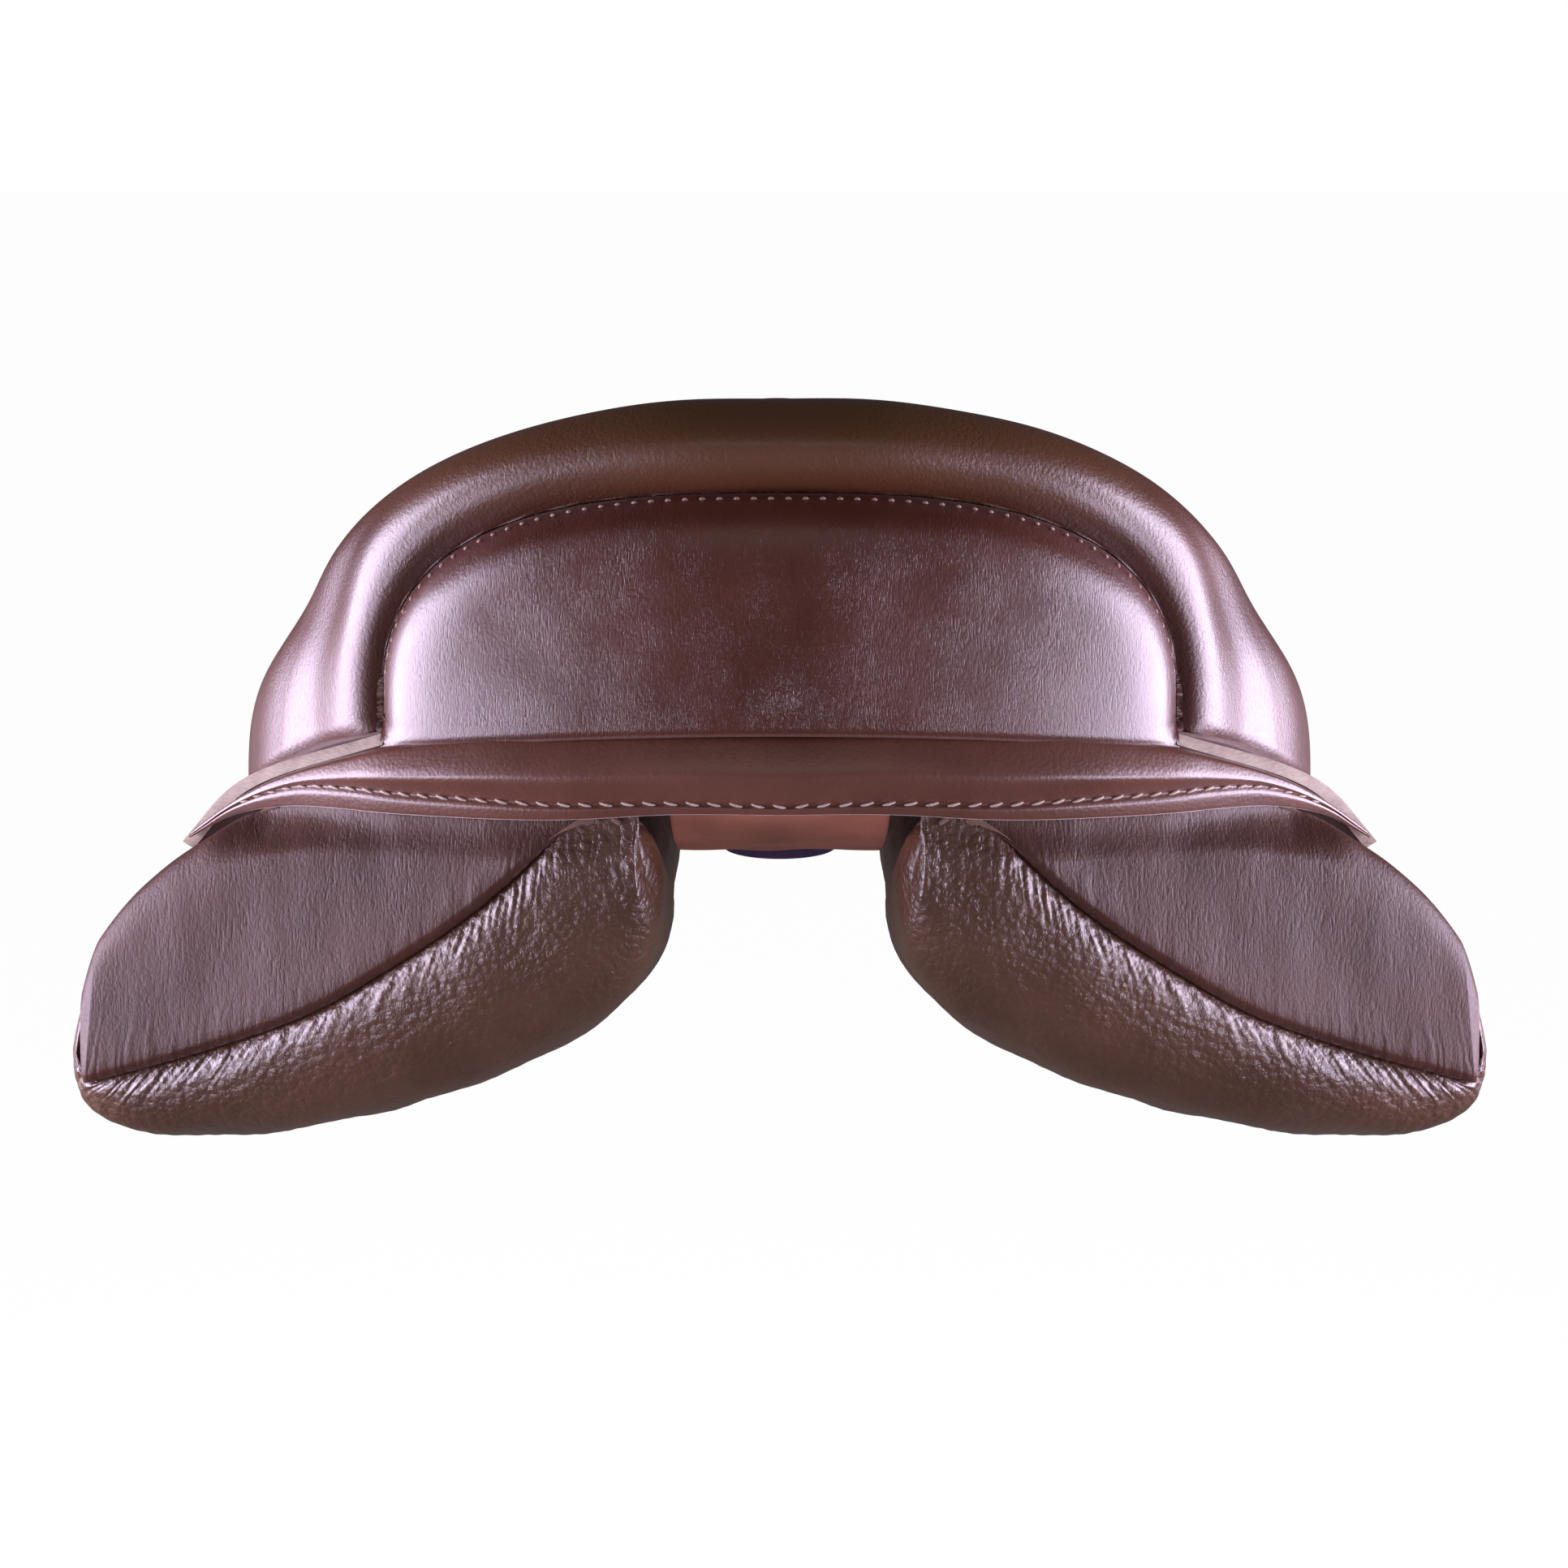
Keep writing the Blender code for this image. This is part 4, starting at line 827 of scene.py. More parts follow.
def makePanels():
    last, rearPart = len(panelPad["sections"]), panelPad["rearPart"]
    # Close rings at the wing's seam, wider ones toward the front
    rear = rearPart * np.linspace(0, 1, panelPad["rearRings"]) ** 1.7
    places = np.concatenate([rear, np.linspace(rearPart, last, panelPad["frontRings"])[1:]])
    above, beneath = panelPad["upperPoints"], panelPad["lowerPoints"]
    angles = math.pi * np.concatenate([(np.arange(above) + 0.5) / above,
                                       1 + (np.arange(beneath) + 0.5) / beneath])
    grid = panelSurface(places, angles) + panelFill(places, angles)
    away = seamAway(grid)
    below = np.clip(-np.sin(angles) * 6, 0, 1)[None, :]
    grid[:, :, 1] -= swelling(away) * below
    lowest = (panelPad["rearRings"] // 2, above + beneath // 2)
    normals = turned(gridNormals(grid, True), lowest, (0, 0, -1))
    quilt = ripple(grid[:, :, 0] / 0.030, grid[:, :, 1] / 0.034, 33) * panelPad["quilt"]
    pebble = ripple(grid[:, :, 0] / 0.0060, grid[:, :, 2] / 0.0075, 34, 14) * panelPad["pebble"]
    settled = np.clip(places / 0.4, 0, 1)[:, None]
    gather = puckers(grid, away, 31) * panelPad["puckerHeight"] * below
    grid = tucked(grid + normals * (gather + (quilt + pebble) * settled)[:, :, None])
    cover = gussetGrid(places)
    for name, side in sides.items():
        piece = ringPiece("panel_cushion_" + name, grid, [panelLeather], side)
        settle(piece, "saddle", ["panel_" + name], 0.65)
        piece = sheetPiece("gusset_cover_" + name, cover, gusset["thickness"],
                           [gussetLeather, darkEdge, backLeather], (0.5, -0.7, 0.5), side)
        settle(piece, "saddle", ["panel_gusset_" + name], 0.5)


# Gusset: it covers the wing's upper side between two angles round the cushion, in degrees
gusset = {"reach": 2.0, "inner": 152.0, "outer": 2.0, "points": 230, "thickness": 0.0012,
          "puff": 0.0028, "puffWidth": 0.0026, "lift": 0.0005, "rise": 0.0022, "riseWidth": 0.0035,
          "innerFade": 16, "outerFade": 14, "gather": 0.00035, "wave": 0.00012}


def gussetGrid(places):
    # Leather over the wing's upper side, turned in at the seam
    places = places[places <= gusset["reach"]]
    degrees = np.linspace(gusset["inner"], gusset["outer"], gusset["points"])
    grid = panelSurface(places, np.radians(degrees))
    away = seamAway(grid)
    grid[:, :, 1] -= gusset["puff"] * (1 - np.exp(-away / gusset["puffWidth"]))
    normals = turned(gridNormals(grid), (len(places) // 2, 100), (0, -1, 0))
    lift = gusset["lift"] + gusset["rise"] * np.clip(away / gusset["riseWidth"], 0, 1) ** 0.5
    ends = np.minimum(degrees / gusset["outerFade"], (gusset["inner"] - degrees) / gusset["innerFade"])
    fine = puckers(grid, away, 41) * gusset["gather"]
    wave = ripple(grid[:, :, 0] / 0.022, grid[:, :, 2] / 0.045, 43) * gusset["wave"]
    lifts = lift * np.clip(ends, 0.15, 1)[None, :] + fine + wave * np.clip(away / 0.02, 0, 1)
    return tucked(grid + normals * lifts[:, :, None])


# Flap, in one sheet from under the seat's edge down to its tip. The bend, where the free part
# begins, slopes down the flap's plane
flapPlane = {"rear": (0.181, -0.182, 0.0490), "front": (0.116, 0.190, 0.0490), "splay": math.radians(30),
             "cupStart": 0.060, "cupRate": 0.30}
flapSheet = {"thickness": 0.0040, "slope": 0.15, "reach": 0.374, "freeFrom": 0.052, "rise": 0.0015,
             "rearRise": 0.0090, "ramp": 0.0290, "least": 0.0050, "leastShare": 0.2, "leastRamp": 0.020,
             "inner": [(0.0645, 0.184, 0.0780), (0.067, 0.163, 0.0770), (0.0745, 0.147, 0.0520),
                       (0.079, 0.122, 0.0515), (0.0885, 0.070, 0.0500), (0.1010, 0.020, 0.0500),
                       (0.1130, -0.030, 0.0490), (0.1270, -0.120, 0.0480), (0.1240, -0.190, 0.0640),
                       (0.1130, -0.2225, 0.0912)],
             "rearEdge": [(0.052, 0.0078), (0.070, 0.035), (0.105, 0.085), (0.165, 0.140),
                          (0.235, 0.190), (0.300, 0.230), (0.335, 0.243)],
             "frontEdge": [(0.374, 0.0561), (0.392, 0.085), (0.402, 0.125), (0.400, 0.165),
                           (0.390, 0.205), (0.374, 0.234), (0.355, 0.243)],
             "columns": 120, "rearColumns": 22, "headRows": 30, "freeRows": 80,
             "bendRows": 5, "smoothings": 5, "wave": 0.0005, "bendFrom": -0.006, "bendTo": 0.030}


def planeAxes():
    rear, front = np.array(flapPlane["rear"]), np.array(flapPlane["front"])
    along = (front - rear) / np.linalg.norm(front - rear)
    outward = np.array([along[1], -along[0], 0.0])
    splay = flapPlane["splay"]
    down = outward * math.sin(splay) - np.array([0, 0, math.cos(splay)])
    normal = outward * math.cos(splay) + np.array([0, 0, math.sin(splay)])
    return along, down, normal


def onFlap(place, drop, depth=0.0):
    # Point at a place along the shoulder, down the flap and inward from its outer face
    along, down, normal = planeAxes()
    place, drop, depth = (np.asarray(v, float)[..., None] for v in (place, drop, depth))
    cup = flapPlane["cupRate"] * np.maximum(0.0, drop - flapPlane["cupStart"]) ** 2
    return np.array(flapPlane["rear"]) + along * place + down * drop - normal * (depth + cup)


def flapHeadColumn(place):
    # From under the seat over the shoulder, then straight down the flap to the bend
    inner = curveAt(flapSheet["inner"],
                    [(1 - place / flapSheet["reach"]) * (len(flapSheet["inner"]) - 1)])[0]
    rise = np.interp(place, [0.0, flapSheet["ramp"]], [flapSheet["rearRise"], flapSheet["rise"]])
    shoulder = onFlap(place, 0.0)
    middle = inner / 3 + shoulder * 2 / 3 + np.array([0.0, 0.0, rise])
    least = flapSheet["least"] * min(1.0, flapSheet["leastShare"] + place / flapSheet["leastRamp"])
    rows = flapSheet["bendRows"]
    drops = max(flapSheet["slope"] * place, least) * np.arange(1, rows + 1) / rows
    column = np.concatenate([spread([inner, middle, shoulder], flapSheet["headRows"] - rows),
                             onFlap(np.full(rows, place), drops)])
    for _ in range(flapSheet["smoothings"]):
        column[1:-1] = (column[:-2] + 2 * column[1:-1] + column[2:]) / 4
    return column


def bendPoint(place):
    # Where the line of the free flap's bend crosses it
    return onFlap(place, place * flapSheet["slope"])


def makeFlaps():
    columns, extra = flapSheet["columns"], flapSheet["rearColumns"]
    places = np.concatenate([np.linspace(0, flapSheet["freeFrom"], extra + 1)[:-1],
                             np.linspace(flapSheet["freeFrom"], flapSheet["reach"], columns)])
    head = np.array([flapHeadColumn(place) for place in places]).swapaxes(0, 1)
    rearEdge = spread(flapSheet["rearEdge"], flapSheet["freeRows"])
    frontEdge = spread(flapSheet["frontEdge"], flapSheet["freeRows"])
    share = np.linspace(0, 1, columns)[None, :, None]
    free = rearEdge[:, None] * (1 - share) + frontEdge[:, None] * share
    free = onFlap(free[:, :, 0], free[:, :, 1])[1:]
    wave = ripple(free[:, :, 1] / 0.14, free[:, :, 2] / 0.12, 51) * flapSheet["wave"]
    free = free + planeAxes()[2] * wave[:, :, None] * np.linspace(0, 1, len(free))[:, None, None]
    width = extra + columns
    points = np.concatenate([head.reshape(-1, 3), free.reshape(-1, 3)])
    faces = gridFaces(flapSheet["headRows"], width)
    lastHead = (flapSheet["headRows"] - 1) * width + extra
    firstFree = flapSheet["headRows"] * width
    faces += [(lastHead + j, lastHead + j + 1, firstFree + j + 1, firstFree + j)
              for j in range(columns - 1)]
    faces += gridFaces(len(free), columns, first=firstFree)
    hinge = bendPoint(flapSheet["freeFrom"])
    axis = bendPoint(flapSheet["reach"]) - hinge
    across = np.cross(axis / np.linalg.norm(axis), planeAxes()[2])
    across *= np.sign(across @ planeAxes()[1])
    for name, side in sides.items():
        piece = addMesh("flap_sheet_" + name, points, faces, [flapLeather, tanEdge, backLeather], side,
                        planeAxes()[2])
        addThickness(piece, flapSheet["thickness"])
        bake(piece)
        start = (hinge + across * flapSheet["bendFrom"]) * (side, 1, 1)
        end = (hinge + across * flapSheet["bendTo"]) * (side, 1, 1)
        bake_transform(piece)
        declare(["flap_head_" + name, "flap_" + name])


def bake(piece):
    # Makes a piece's modifiers part of its mesh
    done = bpy.data.meshes.new_from_object(piece.evaluated_get(bpy.context.evaluated_depsgraph_get()))
    piece.modifiers.clear()
    piece.data = done


# Under the flap: sweat flap, girth straps with punched holes, keeper, knee block
underFlap = {"sweatDepth": 0.0125, "sweatThickness": 0.0026, "sweatRows": 60,
             "sweatRear": [(0.085, 0.004), (0.096, 0.040), (0.120, 0.085), (0.165, 0.125),
                           (0.200, 0.150)],
             "sweatFront": [(0.262, 0.004), (0.274, 0.040), (0.278, 0.085), (0.268, 0.130),
                            (0.245, 0.150)],
             "strapPlaces": {"rear": 0.179, "front": 0.219}, "strapWidth": 0.0250,
             "strapLength": 0.1350, "strapTop": 0.0120, "strapThickness": 0.0032, "webThickness": 0.0016,
             "gap": 0.0003, "holes": 6, "holePitch": 0.0150, "holeFrom": 0.0360, "holeRadius": 0.0022,
             "holeSides": 14, "edgeRound": 0.0003, "longestEdge": 0.008,
             "tip": [(1.0, 0.86), (0.8, 0.95), (0.45, 1.0)]}   # shares of half width and length


def strapDepth():
    return (underFlap["sweatDepth"] - underFlap["webThickness"] - underFlap["strapThickness"]
            - 2 * underFlap["gap"])


def makeSweatFlaps():
    count = underFlap["sweatRows"]
    rear, front = spread(underFlap["sweatRear"], count), spread(underFlap["sweatFront"], count)
    share = np.linspace(0, 1, count)[None, :, None]
    flat = rear[:, None] * (1 - share) + front[:, None] * share
    grid = onFlap(flat[:, :, 0], flat[:, :, 1], underFlap["sweatDepth"])
    for name, side in sides.items():
        piece = sheetPiece("sweat_leather_" + name, grid, underFlap["sweatThickness"],
                           [strapLeather, darkEdge, backLeather], planeAxes()[2], side)
        settle(piece, "saddle", ["sweat_flap_" + name])


def strapShape():
    # Flat outline of a strap with its pointed tip and punched holes, then faces between them
    half, length = underFlap["strapWidth"] / 2, underFlap["strapLength"]
    tip = [(half * out, length * down) for out, down in underFlap["tip"]]
    outline = [(-half, 0.0), (half, 0.0)] + tip + [(-x, y) for x, y in tip[::-1]]
    curve = bpy.data.curves.new("strap_outline", "CURVE")
    curve.dimensions = "2D"
    curve.fill_mode = "BOTH"
    curve.extrude = underFlap["strapThickness"] / 2 - underFlap["edgeRound"]
    curve.bevel_depth = underFlap["edgeRound"]
    rings = [outline]
    radius = underFlap["holeRadius"]
    turn = np.linspace(0, 2 * math.pi, underFlap["holeSides"] + 1)[:-1]
    for k in range(underFlap["holes"]):
        middle = underFlap["holeFrom"] + k * underFlap["holePitch"]
        rings.append([(radius * math.cos(a), middle + radius * math.sin(a)) for a in turn])
    for ring in rings:
        spline = curve.splines.new("POLY")
        spline.points.add(len(ring) - 1)
        for point, (x, y) in zip(spline.points, ring):
            point.co = (x, y, 0.0, 1.0)
        spline.use_cyclic_u = True
    flat = addObject("strap_outline", curve)
    mesh = bpy.data.meshes.new_from_object(
        flat.evaluated_get(bpy.context.evaluated_depsgraph_get()))
    bpy.data.objects.remove(flat)
    shape = bmesh.new()
    shape.from_mesh(mesh)
    bmesh.ops.remove_doubles(shape, verts=shape.verts, dist=0.00002)
    for _ in range(2):
        long = [edge for edge in shape.edges if edge.calc_length() > underFlap["longestEdge"]]
        bmesh.ops.subdivide_edges(shape, edges=long, cuts=2)
    bmesh.ops.triangulate(shape, faces=shape.faces)
    return shape


def makeStraps():
    for name, side in sides.items():
        for which, place in underFlap["strapPlaces"].items():
            shape = strapShape()
            for vert in shape.verts:
                flat = vert.co.copy()
                depth = strapDepth() + underFlap["strapThickness"] / 2 - flat.z
                vert.co = onFlap(place + flat.x, underFlap["strapTop"] + flat.y, depth)
                vert.co.x *= side
            bmesh.ops.recalc_face_normals(shape, faces=shape.faces)
            mesh = bpy.data.meshes.new("girth_billet_" + which + "_" + name)
            shape.to_mesh(mesh)
            shape.free()
            mesh.shade_smooth()
            mesh.set_sharp_from_angle(angle=math.radians(40))
            mesh.materials.append(strapLeather)
            node = f"girth_strap_{which}_{name}"
            settle(addObject(mesh.name, mesh), node, [node])


# Keeper: the loop that holds both straps to the sweat flap
keeper = {"half": 0.0490, "foot": 0.0100, "step": 0.0050, "bend": 0.0020, "place": 0.0850,
          "width": 0.0160, "thickness": 0.0018, "points": 101}


def makeKeepers():
    gap = underFlap["gap"]
    centre = sum(underFlap["strapPlaces"].values()) / 2
    high = strapDepth() - gap - keeper["thickness"]
    low = underFlap["sweatDepth"] - keeper["thickness"] - gap
    foot = keeper["half"] + keeper["bend"]
    half = [(foot - keeper["step"], high), (foot, low), (foot + keeper["foot"], low)]
    profile = np.array([(-offset, depth) for offset, depth in half[::-1]] + half)
    steps = np.linspace(0, len(profile) - 1, keeper["points"])
    fine = np.array([np.interp(steps, range(len(profile)), profile[:, k]) for k in range(2)]).T
    drops = keeper["place"] + np.linspace(-0.5, 0.5, 8) * keeper["width"]
    grid = np.array([onFlap(centre + fine[:, 0], np.full(len(fine), drop), fine[:, 1])
                     for drop in drops])
    for name, side in sides.items():
        piece = sheetPiece("strap_loop_" + name, grid, keeper["thickness"],
                           [strapLeather, darkEdge, backLeather], planeAxes()[2], side)
        settle(piece, "saddle", ["strap_keeper_" + name])


# Knee block: the stuffed pad inside the front of the flap, lower and narrower at its ends
kneeBlock = {"line": [(0.318, 0.078), (0.330, 0.105), (0.337, 0.135), (0.337, 0.165), (0.330, 0.190)],
             "width": 0.0360, "height": 0.0200, "endShare": 0.12, "narrowest": 0.55,
             "rings": 44, "points": 48}


def makeKneeBlocks():
    line = spread(kneeBlock["line"], kneeBlock["rings"])
    rings = []
    turn = 2 * math.pi * np.arange(kneeBlock["points"]) / kneeBlock["points"]
    for i, (place, drop) in enumerate(line):
        end, narrowest = kneeBlock["endShare"], kneeBlock["narrowest"]
        swell = math.sin(math.pi * (end + (1 - 2 * end) * i / (len(line) - 1)))
        offset = np.cos(turn) * kneeBlock["width"] / 2 * (narrowest + (1 - narrowest) * swell)
        rise = (0.5 + 0.5 * np.sin(turn)) * kneeBlock["height"] * swell
        rings.append(onFlap(place + offset, np.full(len(turn), drop),
                            flapSheet["thickness"] + underFlap["gap"] + rise))
    for name, side in sides.items():
        piece = ringPiece("knee_pad_" + name, rings, [strapLeather], side)
        settle(piece, "flap_" + name, ["knee_block_" + name], 0.9)


# Skirt over the stirrup bar, with a creased line inside its edge
skirt = {"rear": (0.1403, -0.0450, 0.0600), "front": (0.0768, 0.1220, 0.0905), "length": 0.0635,
         "start": math.radians(15), "turn": math.radians(42), "squareness": 2.4, "rearRound": 0.9,
         "least": 0.0060, "thickness": 0.0022, "columns": 120, "rows": 50,
         "crease": 0.0045, "creaseDepth": 0.0004, "creaseWidth": 0.0008}


def makeSkirts():
    rear, front = np.array(skirt["rear"]), np.array(skirt["front"])
    along = (front - rear) / np.linalg.norm(front - rear)
    outward = np.array([along[1], -along[0], 0.0])
    outward /= np.linalg.norm(outward)
    steps = skirt["rows"] - 1
    columns = []
    for share in np.linspace(0, 1, skirt["columns"]):
        reach = share * (1 + skirt["rearRound"]) - skirt["rearRound"]
        length = skirt["length"] * crown(reach, skirt["squareness"]) + skirt["least"]
        run = length * (np.arange(steps) + 0.5) / steps
        angles = skirt["start"] + skirt["turn"] * run / skirt["length"]
        moves = (np.outer(np.cos(angles), outward)
                 - np.outer(np.sin(angles), (0, 0, 1))) * length / steps
        fall = np.concatenate([[(0, 0, 0)], np.cumsum(moves, 0)])
        columns.append(rear + (front - rear) * share + fall)
    grid = np.array(columns).swapaxes(0, 1)
    rim = np.concatenate([grid[:, 0], grid[-1], grid[::-1, -1]])
    away = nearest(grid, rim)
    inward = np.array([outward[0], outward[1], 0.8]) / 1.28   # about square to the leather
    line = np.exp(-((away - skirt["crease"]) / skirt["creaseWidth"]) ** 2)
    grid -= inward * (skirt["creaseDepth"] * line)[:, :, None]
    for name, side in sides.items():
        piece = sheetPiece("skirt_leather_" + name, grid, skirt["thickness"],
                           [flapLeather, darkEdge, backLeather], (0.7, 0, 0.7), side)
        settle(piece, "skirt_" + name, ["skirt_" + name])


# Welt along the seat's lower edge, as thick as the skirt and thinner at the rear
welt = {"columns": 60, "points": 170, "around": 14, "drop": 0.0012, "thinFrom": -0.235,
        "thinOver": 0.06, "thinnest": 0.4}


def makeWelts():
    rows = seatGrid(seat["rows"], welt["columns"])
    radius = skirt["thickness"]
    edge = evenly(dented(rows[:-1, -1]) - (radius, 0, radius + welt["drop"]), welt["points"])
    turn = (2 * math.pi * np.arange(welt["around"]) / welt["around"])[:, None]
    heading = unit(np.gradient(edge, axis=0))
    out = unit(np.cross(heading, (0, 0, 1)))
    up = np.cross(out, heading)
    size = radius * np.clip((edge[:, 1] - welt["thinFrom"]) / welt["thinOver"], welt["thinnest"], 1)
    circles = out[:, None] * np.cos(turn) + up[:, None] * np.sin(turn)
    rings = edge[:, None] + size[:, None, None] * circles
    for name, side in sides.items():
        # The piping is dark brown leather, made dark enough to paint the shade of the line between the
        # seat and the flap
        piece = ringPiece("seat_piping_" + name, rings, [darkEdge], side)
        settle(piece, "saddle", ["seat_welt_" + name])


# Lining of the channel and the small half-moon tab under it
lining = {"half": 0.0320, "thickness": 0.0024,
          "line": [(0.0760, -0.2405), (0.0540, -0.2000), (0.0400, -0.1600), (0.0330, -0.1300),
                   (0.0310, -0.0900), (0.0340, -0.0300), (0.0430, 0.0400), (0.0555, 0.1000),
                   (0.0665, 0.1600), (0.0700, 0.1900)],
          "rows": 120, "columns": 40, "wave": 0.0003, "tabHalf": 0.0180, "tabDepth": 0.0042,
          "tabPlace": -0.1300, "tabThickness": 0.0012, "tabPoints": 60,
          "tabGap": 0.0003, "rowHalf": 0.0150, "rowArch": 0.0016, "rowRear": 0.0022, "rowUp": 0.0018,
          "stitch": {"pitch": 0.0026, "length": 0.0016, "radius": 0.0004, "slant": 0.3}}


def makeLining():
    line = spread(lining["line"], lining["rows"])
    x = lining["half"] * np.linspace(-1, 1, lining["columns"])
    grid = np.array([np.stack([x, np.full(len(x), y), np.full(len(x), z)], 1) for z, y in line])
    grid[:, :, 2] += ripple(grid[:, :, 0] / 0.03, grid[:, :, 1] / 0.05, 61) * lining["wave"]
    piece = sheetPiece("channel_lining", grid, lining["thickness"],
                       [liningLeather, darkEdge, backLeather], (0, 0, -1))
    settle(piece, "saddle", ["gullet_lining"])


def makeTab():
    # Half-moon sewn upright under the lining, with a bent row of stitches
    place = lining["tabPlace"]
    top = np.interp(place, [y for z, y in lining["line"]], [z for z, y in lining["line"]])
    shares = np.linspace(-0.985, 0.985, lining["tabPoints"])
    drop = lining["tabDepth"] * crown(shares, 2.0)
    y = np.full(len(shares), place)
    tab = np.array([np.stack([lining["tabHalf"] * shares, y, top - lining["tabGap"] - drop * depth], 1)
                    for depth in np.linspace(0, 1, 10)])
    piece = sheetPiece("lining_tab", tab, lining["tabThickness"], [patchLeather, darkEdge, patchLeather],
                       (0, -1, 0))
    settle(piece, "saddle", ["lining_patch"])
    x = np.linspace(-lining["rowHalf"], lining["rowHalf"], 40)
    arch = lining["rowArch"] * (x / lining["rowHalf"]) ** 2
    run = np.stack([x, np.full(len(x), place - lining["rowRear"]), top + lining["rowUp"] - arch], 1)
    row = stitches("lining_tab_stitches", run, np.tile((0, -0.7, -0.7), (len(x), 1)), lining["stitch"],
                   pinkThread)
    settle(row, "saddle", ())


# Leather, webs and foam that keep the shape of their solids, and the bare fittings
fittingEdge = 0.0005
softNodes = {"head_facing": (flapLeather, "brown_leather"),
             "pommel_facing": (seatLeather, "brown_leather"),
             "dee_chape_left": (strapLeather, "brown_leather"),
             "dee_chape_right": (strapLeather, "brown_leather"), "seat_web": (linen, "web"),
             "cross_web_rear": (linen, "web"), "cross_web_front": (linen, "web"),
             "seat_foam": (latex, "seat_foam")}
rigidNodes = {"tree_head": beech, "tree_cantle": beech, "tree_rail": beech, "gullet_plate": steel,
              "head_plate": steel, "spring_steel": steel, "stirrup_bar": steel, "bar_catch": steel,
              "catch_pin": steel, "dee_ring": brass, "pommel_nail": brass}


def softenedCopy(node, finish):
    # Copy of a soft solid with rounded edges; the foam takes the seat's dents
    source = frame["nodes"][node]
    shape = bmesh.new()
    shape.from_mesh(source.data)
    bmesh.ops.remove_doubles(shape, verts=shape.verts, dist=0.00001)
    if node == "seat_foam":
        for vert in shape.verts:
            vert.co = dented(np.array([vert.co]))[0]
    bmesh.ops.join_triangles(shape, faces=shape.faces, angle_face_threshold=0.6,
                             angle_shape_threshold=0.9)
    mesh = bpy.data.meshes.new(node + "_soft")
    shape.to_mesh(mesh)
    shape.free()
    mesh.shade_smooth()
    mesh.materials.append(finish)
    piece = addObject(node + "_soft", mesh)
    roundEdges(piece, fittingEdge, 50)
    settle(piece, source["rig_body"], [node], 0.8 if node == "seat_foam" else None)


def dressNodes():
    for node, (finish, slot) in softNodes.items():
        softenedCopy(node, finish)
    for node, thing in frame["nodes"].items():
        base = node.replace("_left", "").replace("_right", "")
        if base in rigidNodes:
            thing.data.materials.clear()
            thing.data.materials.append(rigidNodes[base])
            roundEdges(thing, fittingEdge, 40)


makeSeat()
makeFacing()
print("seat and facing made")
makeBand()
makePanels()
print("band, panels and gussets made")
makeFlaps()
makeSkirts()
makeWelts()
makeSweatFlaps()
makeStraps()
makeKeepers()
makeKneeBlocks()
print("flaps, skirts and straps made")
makeLining()
makeTab()
dressNodes()
print("lining, tree and fittings made")


# Studio

def softBox(name, place, aim, width, height, radiance, colour):
    lamp = bpy.data.lights.new(name, "AREA")
    lamp.shape = "RECTANGLE"
    lamp.size = width
    lamp.size_y = height
    lamp.energy = radiance * math.pi * width * height
    lamp.color = colour
    thing = addObject(name, lamp)
    thing.location = place
    thing.rotation_euler = turnedTo(place, aim)


studio = {"floor": -0.62, "floorSize": 60.0, "floorColour": (0.24, 0.24, 0.25, 1.0),
          "floorGlow": 1.15, "floorShown": 0.85, "floorMirrored": (0.12, 0.11, 0.10, 1.0),
          "sideRadiance": 12.3, "sidePlace": (1.15, -0.24, 0.05), "sideSize": (1.08, 0.78),
          "lowRadiance": 11.3, "lowPlace": (1.04, -0.95, -0.40), "lowAim": (0.1, -0.23, 0.10),
          "lowSize": (0.46, 0.32), "lilac": (0.87, 0.76, 1.0),
          "cameraRadiance": 0.4, "cameraPlace": (0.0, -1.7, 0.8), "cameraAim": (0.0, -0.2, 0.08),
          "cameraSize": (1.0, 0.6), "cream": (1.0, 0.96, 0.92), "fill": 0.14, "mirrored": 0.04}


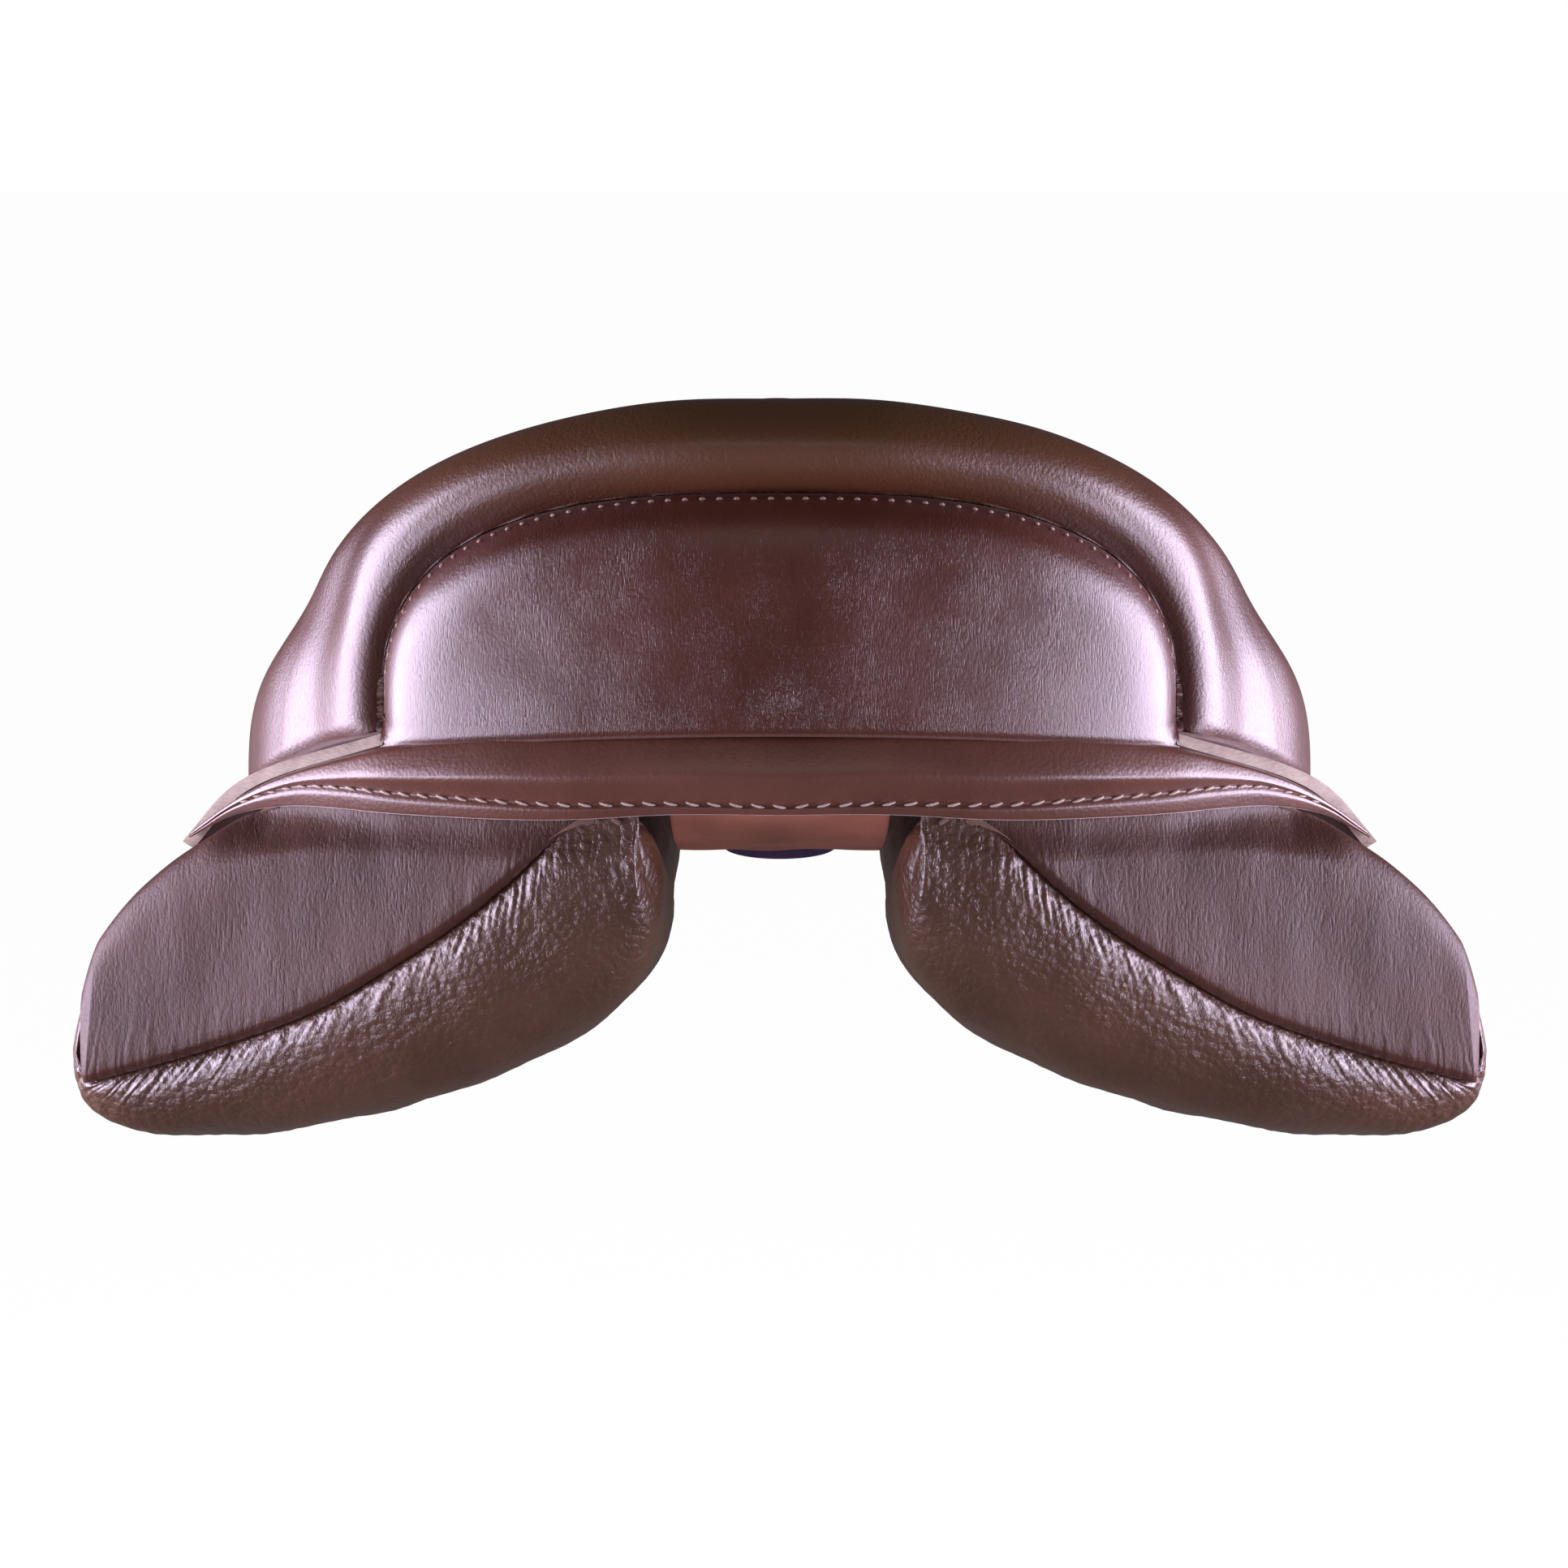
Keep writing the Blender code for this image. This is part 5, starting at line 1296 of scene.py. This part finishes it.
def softBoxes():
    for name, side in sides.items():
        x, y, z = studio["sidePlace"]
        softBox("side light " + name, (x * side, y, z), (0, y, z), *studio["sideSize"],
                studio["sideRadiance"], studio["lilac"])
        place, aim = (np.array(studio[key]) * (side, 1, 1) for key in ("lowPlace", "lowAim"))
        softBox("low light " + name, place, aim, *studio["lowSize"], studio["lowRadiance"],
                studio["lilac"])
    softBox("camera light", studio["cameraPlace"], studio["cameraAim"], *studio["cameraSize"],
            studio["cameraRadiance"], studio["cream"])


def whiteFloor():
    bpy.ops.mesh.primitive_plane_add(size=studio["floorSize"], location=(0, 0, studio["floor"]))
    floor = bpy.context.object
    floor.name = "floor"
    material = bpy.data.materials.new("pale floor")
    material.use_nodes = True
    tree = material.node_tree
    start = Wire(tree)
    seen = start.make("ShaderNodeLightPath", output="Is Camera Ray")
    mirrored = start.make("ShaderNodeLightPath", output="Is Glossy Ray")
    matt = start.make("ShaderNodeBsdfDiffuse", None, {"Color": studio["floorColour"]})
    glow = start.make("ShaderNodeEmission", None, {"Color": (1.0, 1.0, 1.0, 1.0),
                                                   "Strength": studio["floorGlow"]})
    bright = start.make("ShaderNodeMixShader", None, {0: seen * studio["floorShown"], 1: matt, 2: glow})
    dim = start.make("ShaderNodeEmission", None, {"Color": studio["floorMirrored"]})
    mixed = start.make("ShaderNodeMixShader", None, {0: mirrored, 1: bright, 2: dim})
    tree.links.new(mixed.socket, tree.nodes["Material Output"].inputs["Surface"])
    floor.data.materials.append(material)


def whiteWorld():
    # White to the camera, softer in reflections and as fill light
    world = bpy.data.worlds.new("studio")
    world.use_nodes = True
    scene.world = world
    tree = world.node_tree
    start = Wire(tree)
    seen = start.make("ShaderNodeLightPath", output="Is Camera Ray")
    mirrored = start.make("ShaderNodeLightPath", output="Is Glossy Ray")
    through = start.make("ShaderNodeLightPath", output="Is Transmission Ray")
    shown = (seen + through).clamp()
    matt = (1 - shown - mirrored).clamp()
    strength = shown + mirrored * studio["mirrored"] + matt * studio["fill"]
    back = tree.nodes["Background"]
    back.inputs["Color"].default_value = (1.0, 1.0, 1.0, 1.0)
    tree.links.new(strength.socket, back.inputs["Strength"])


scene.view_settings.view_transform = "Standard"
softBoxes()
whiteFloor()
whiteWorld()
print("scene ready")
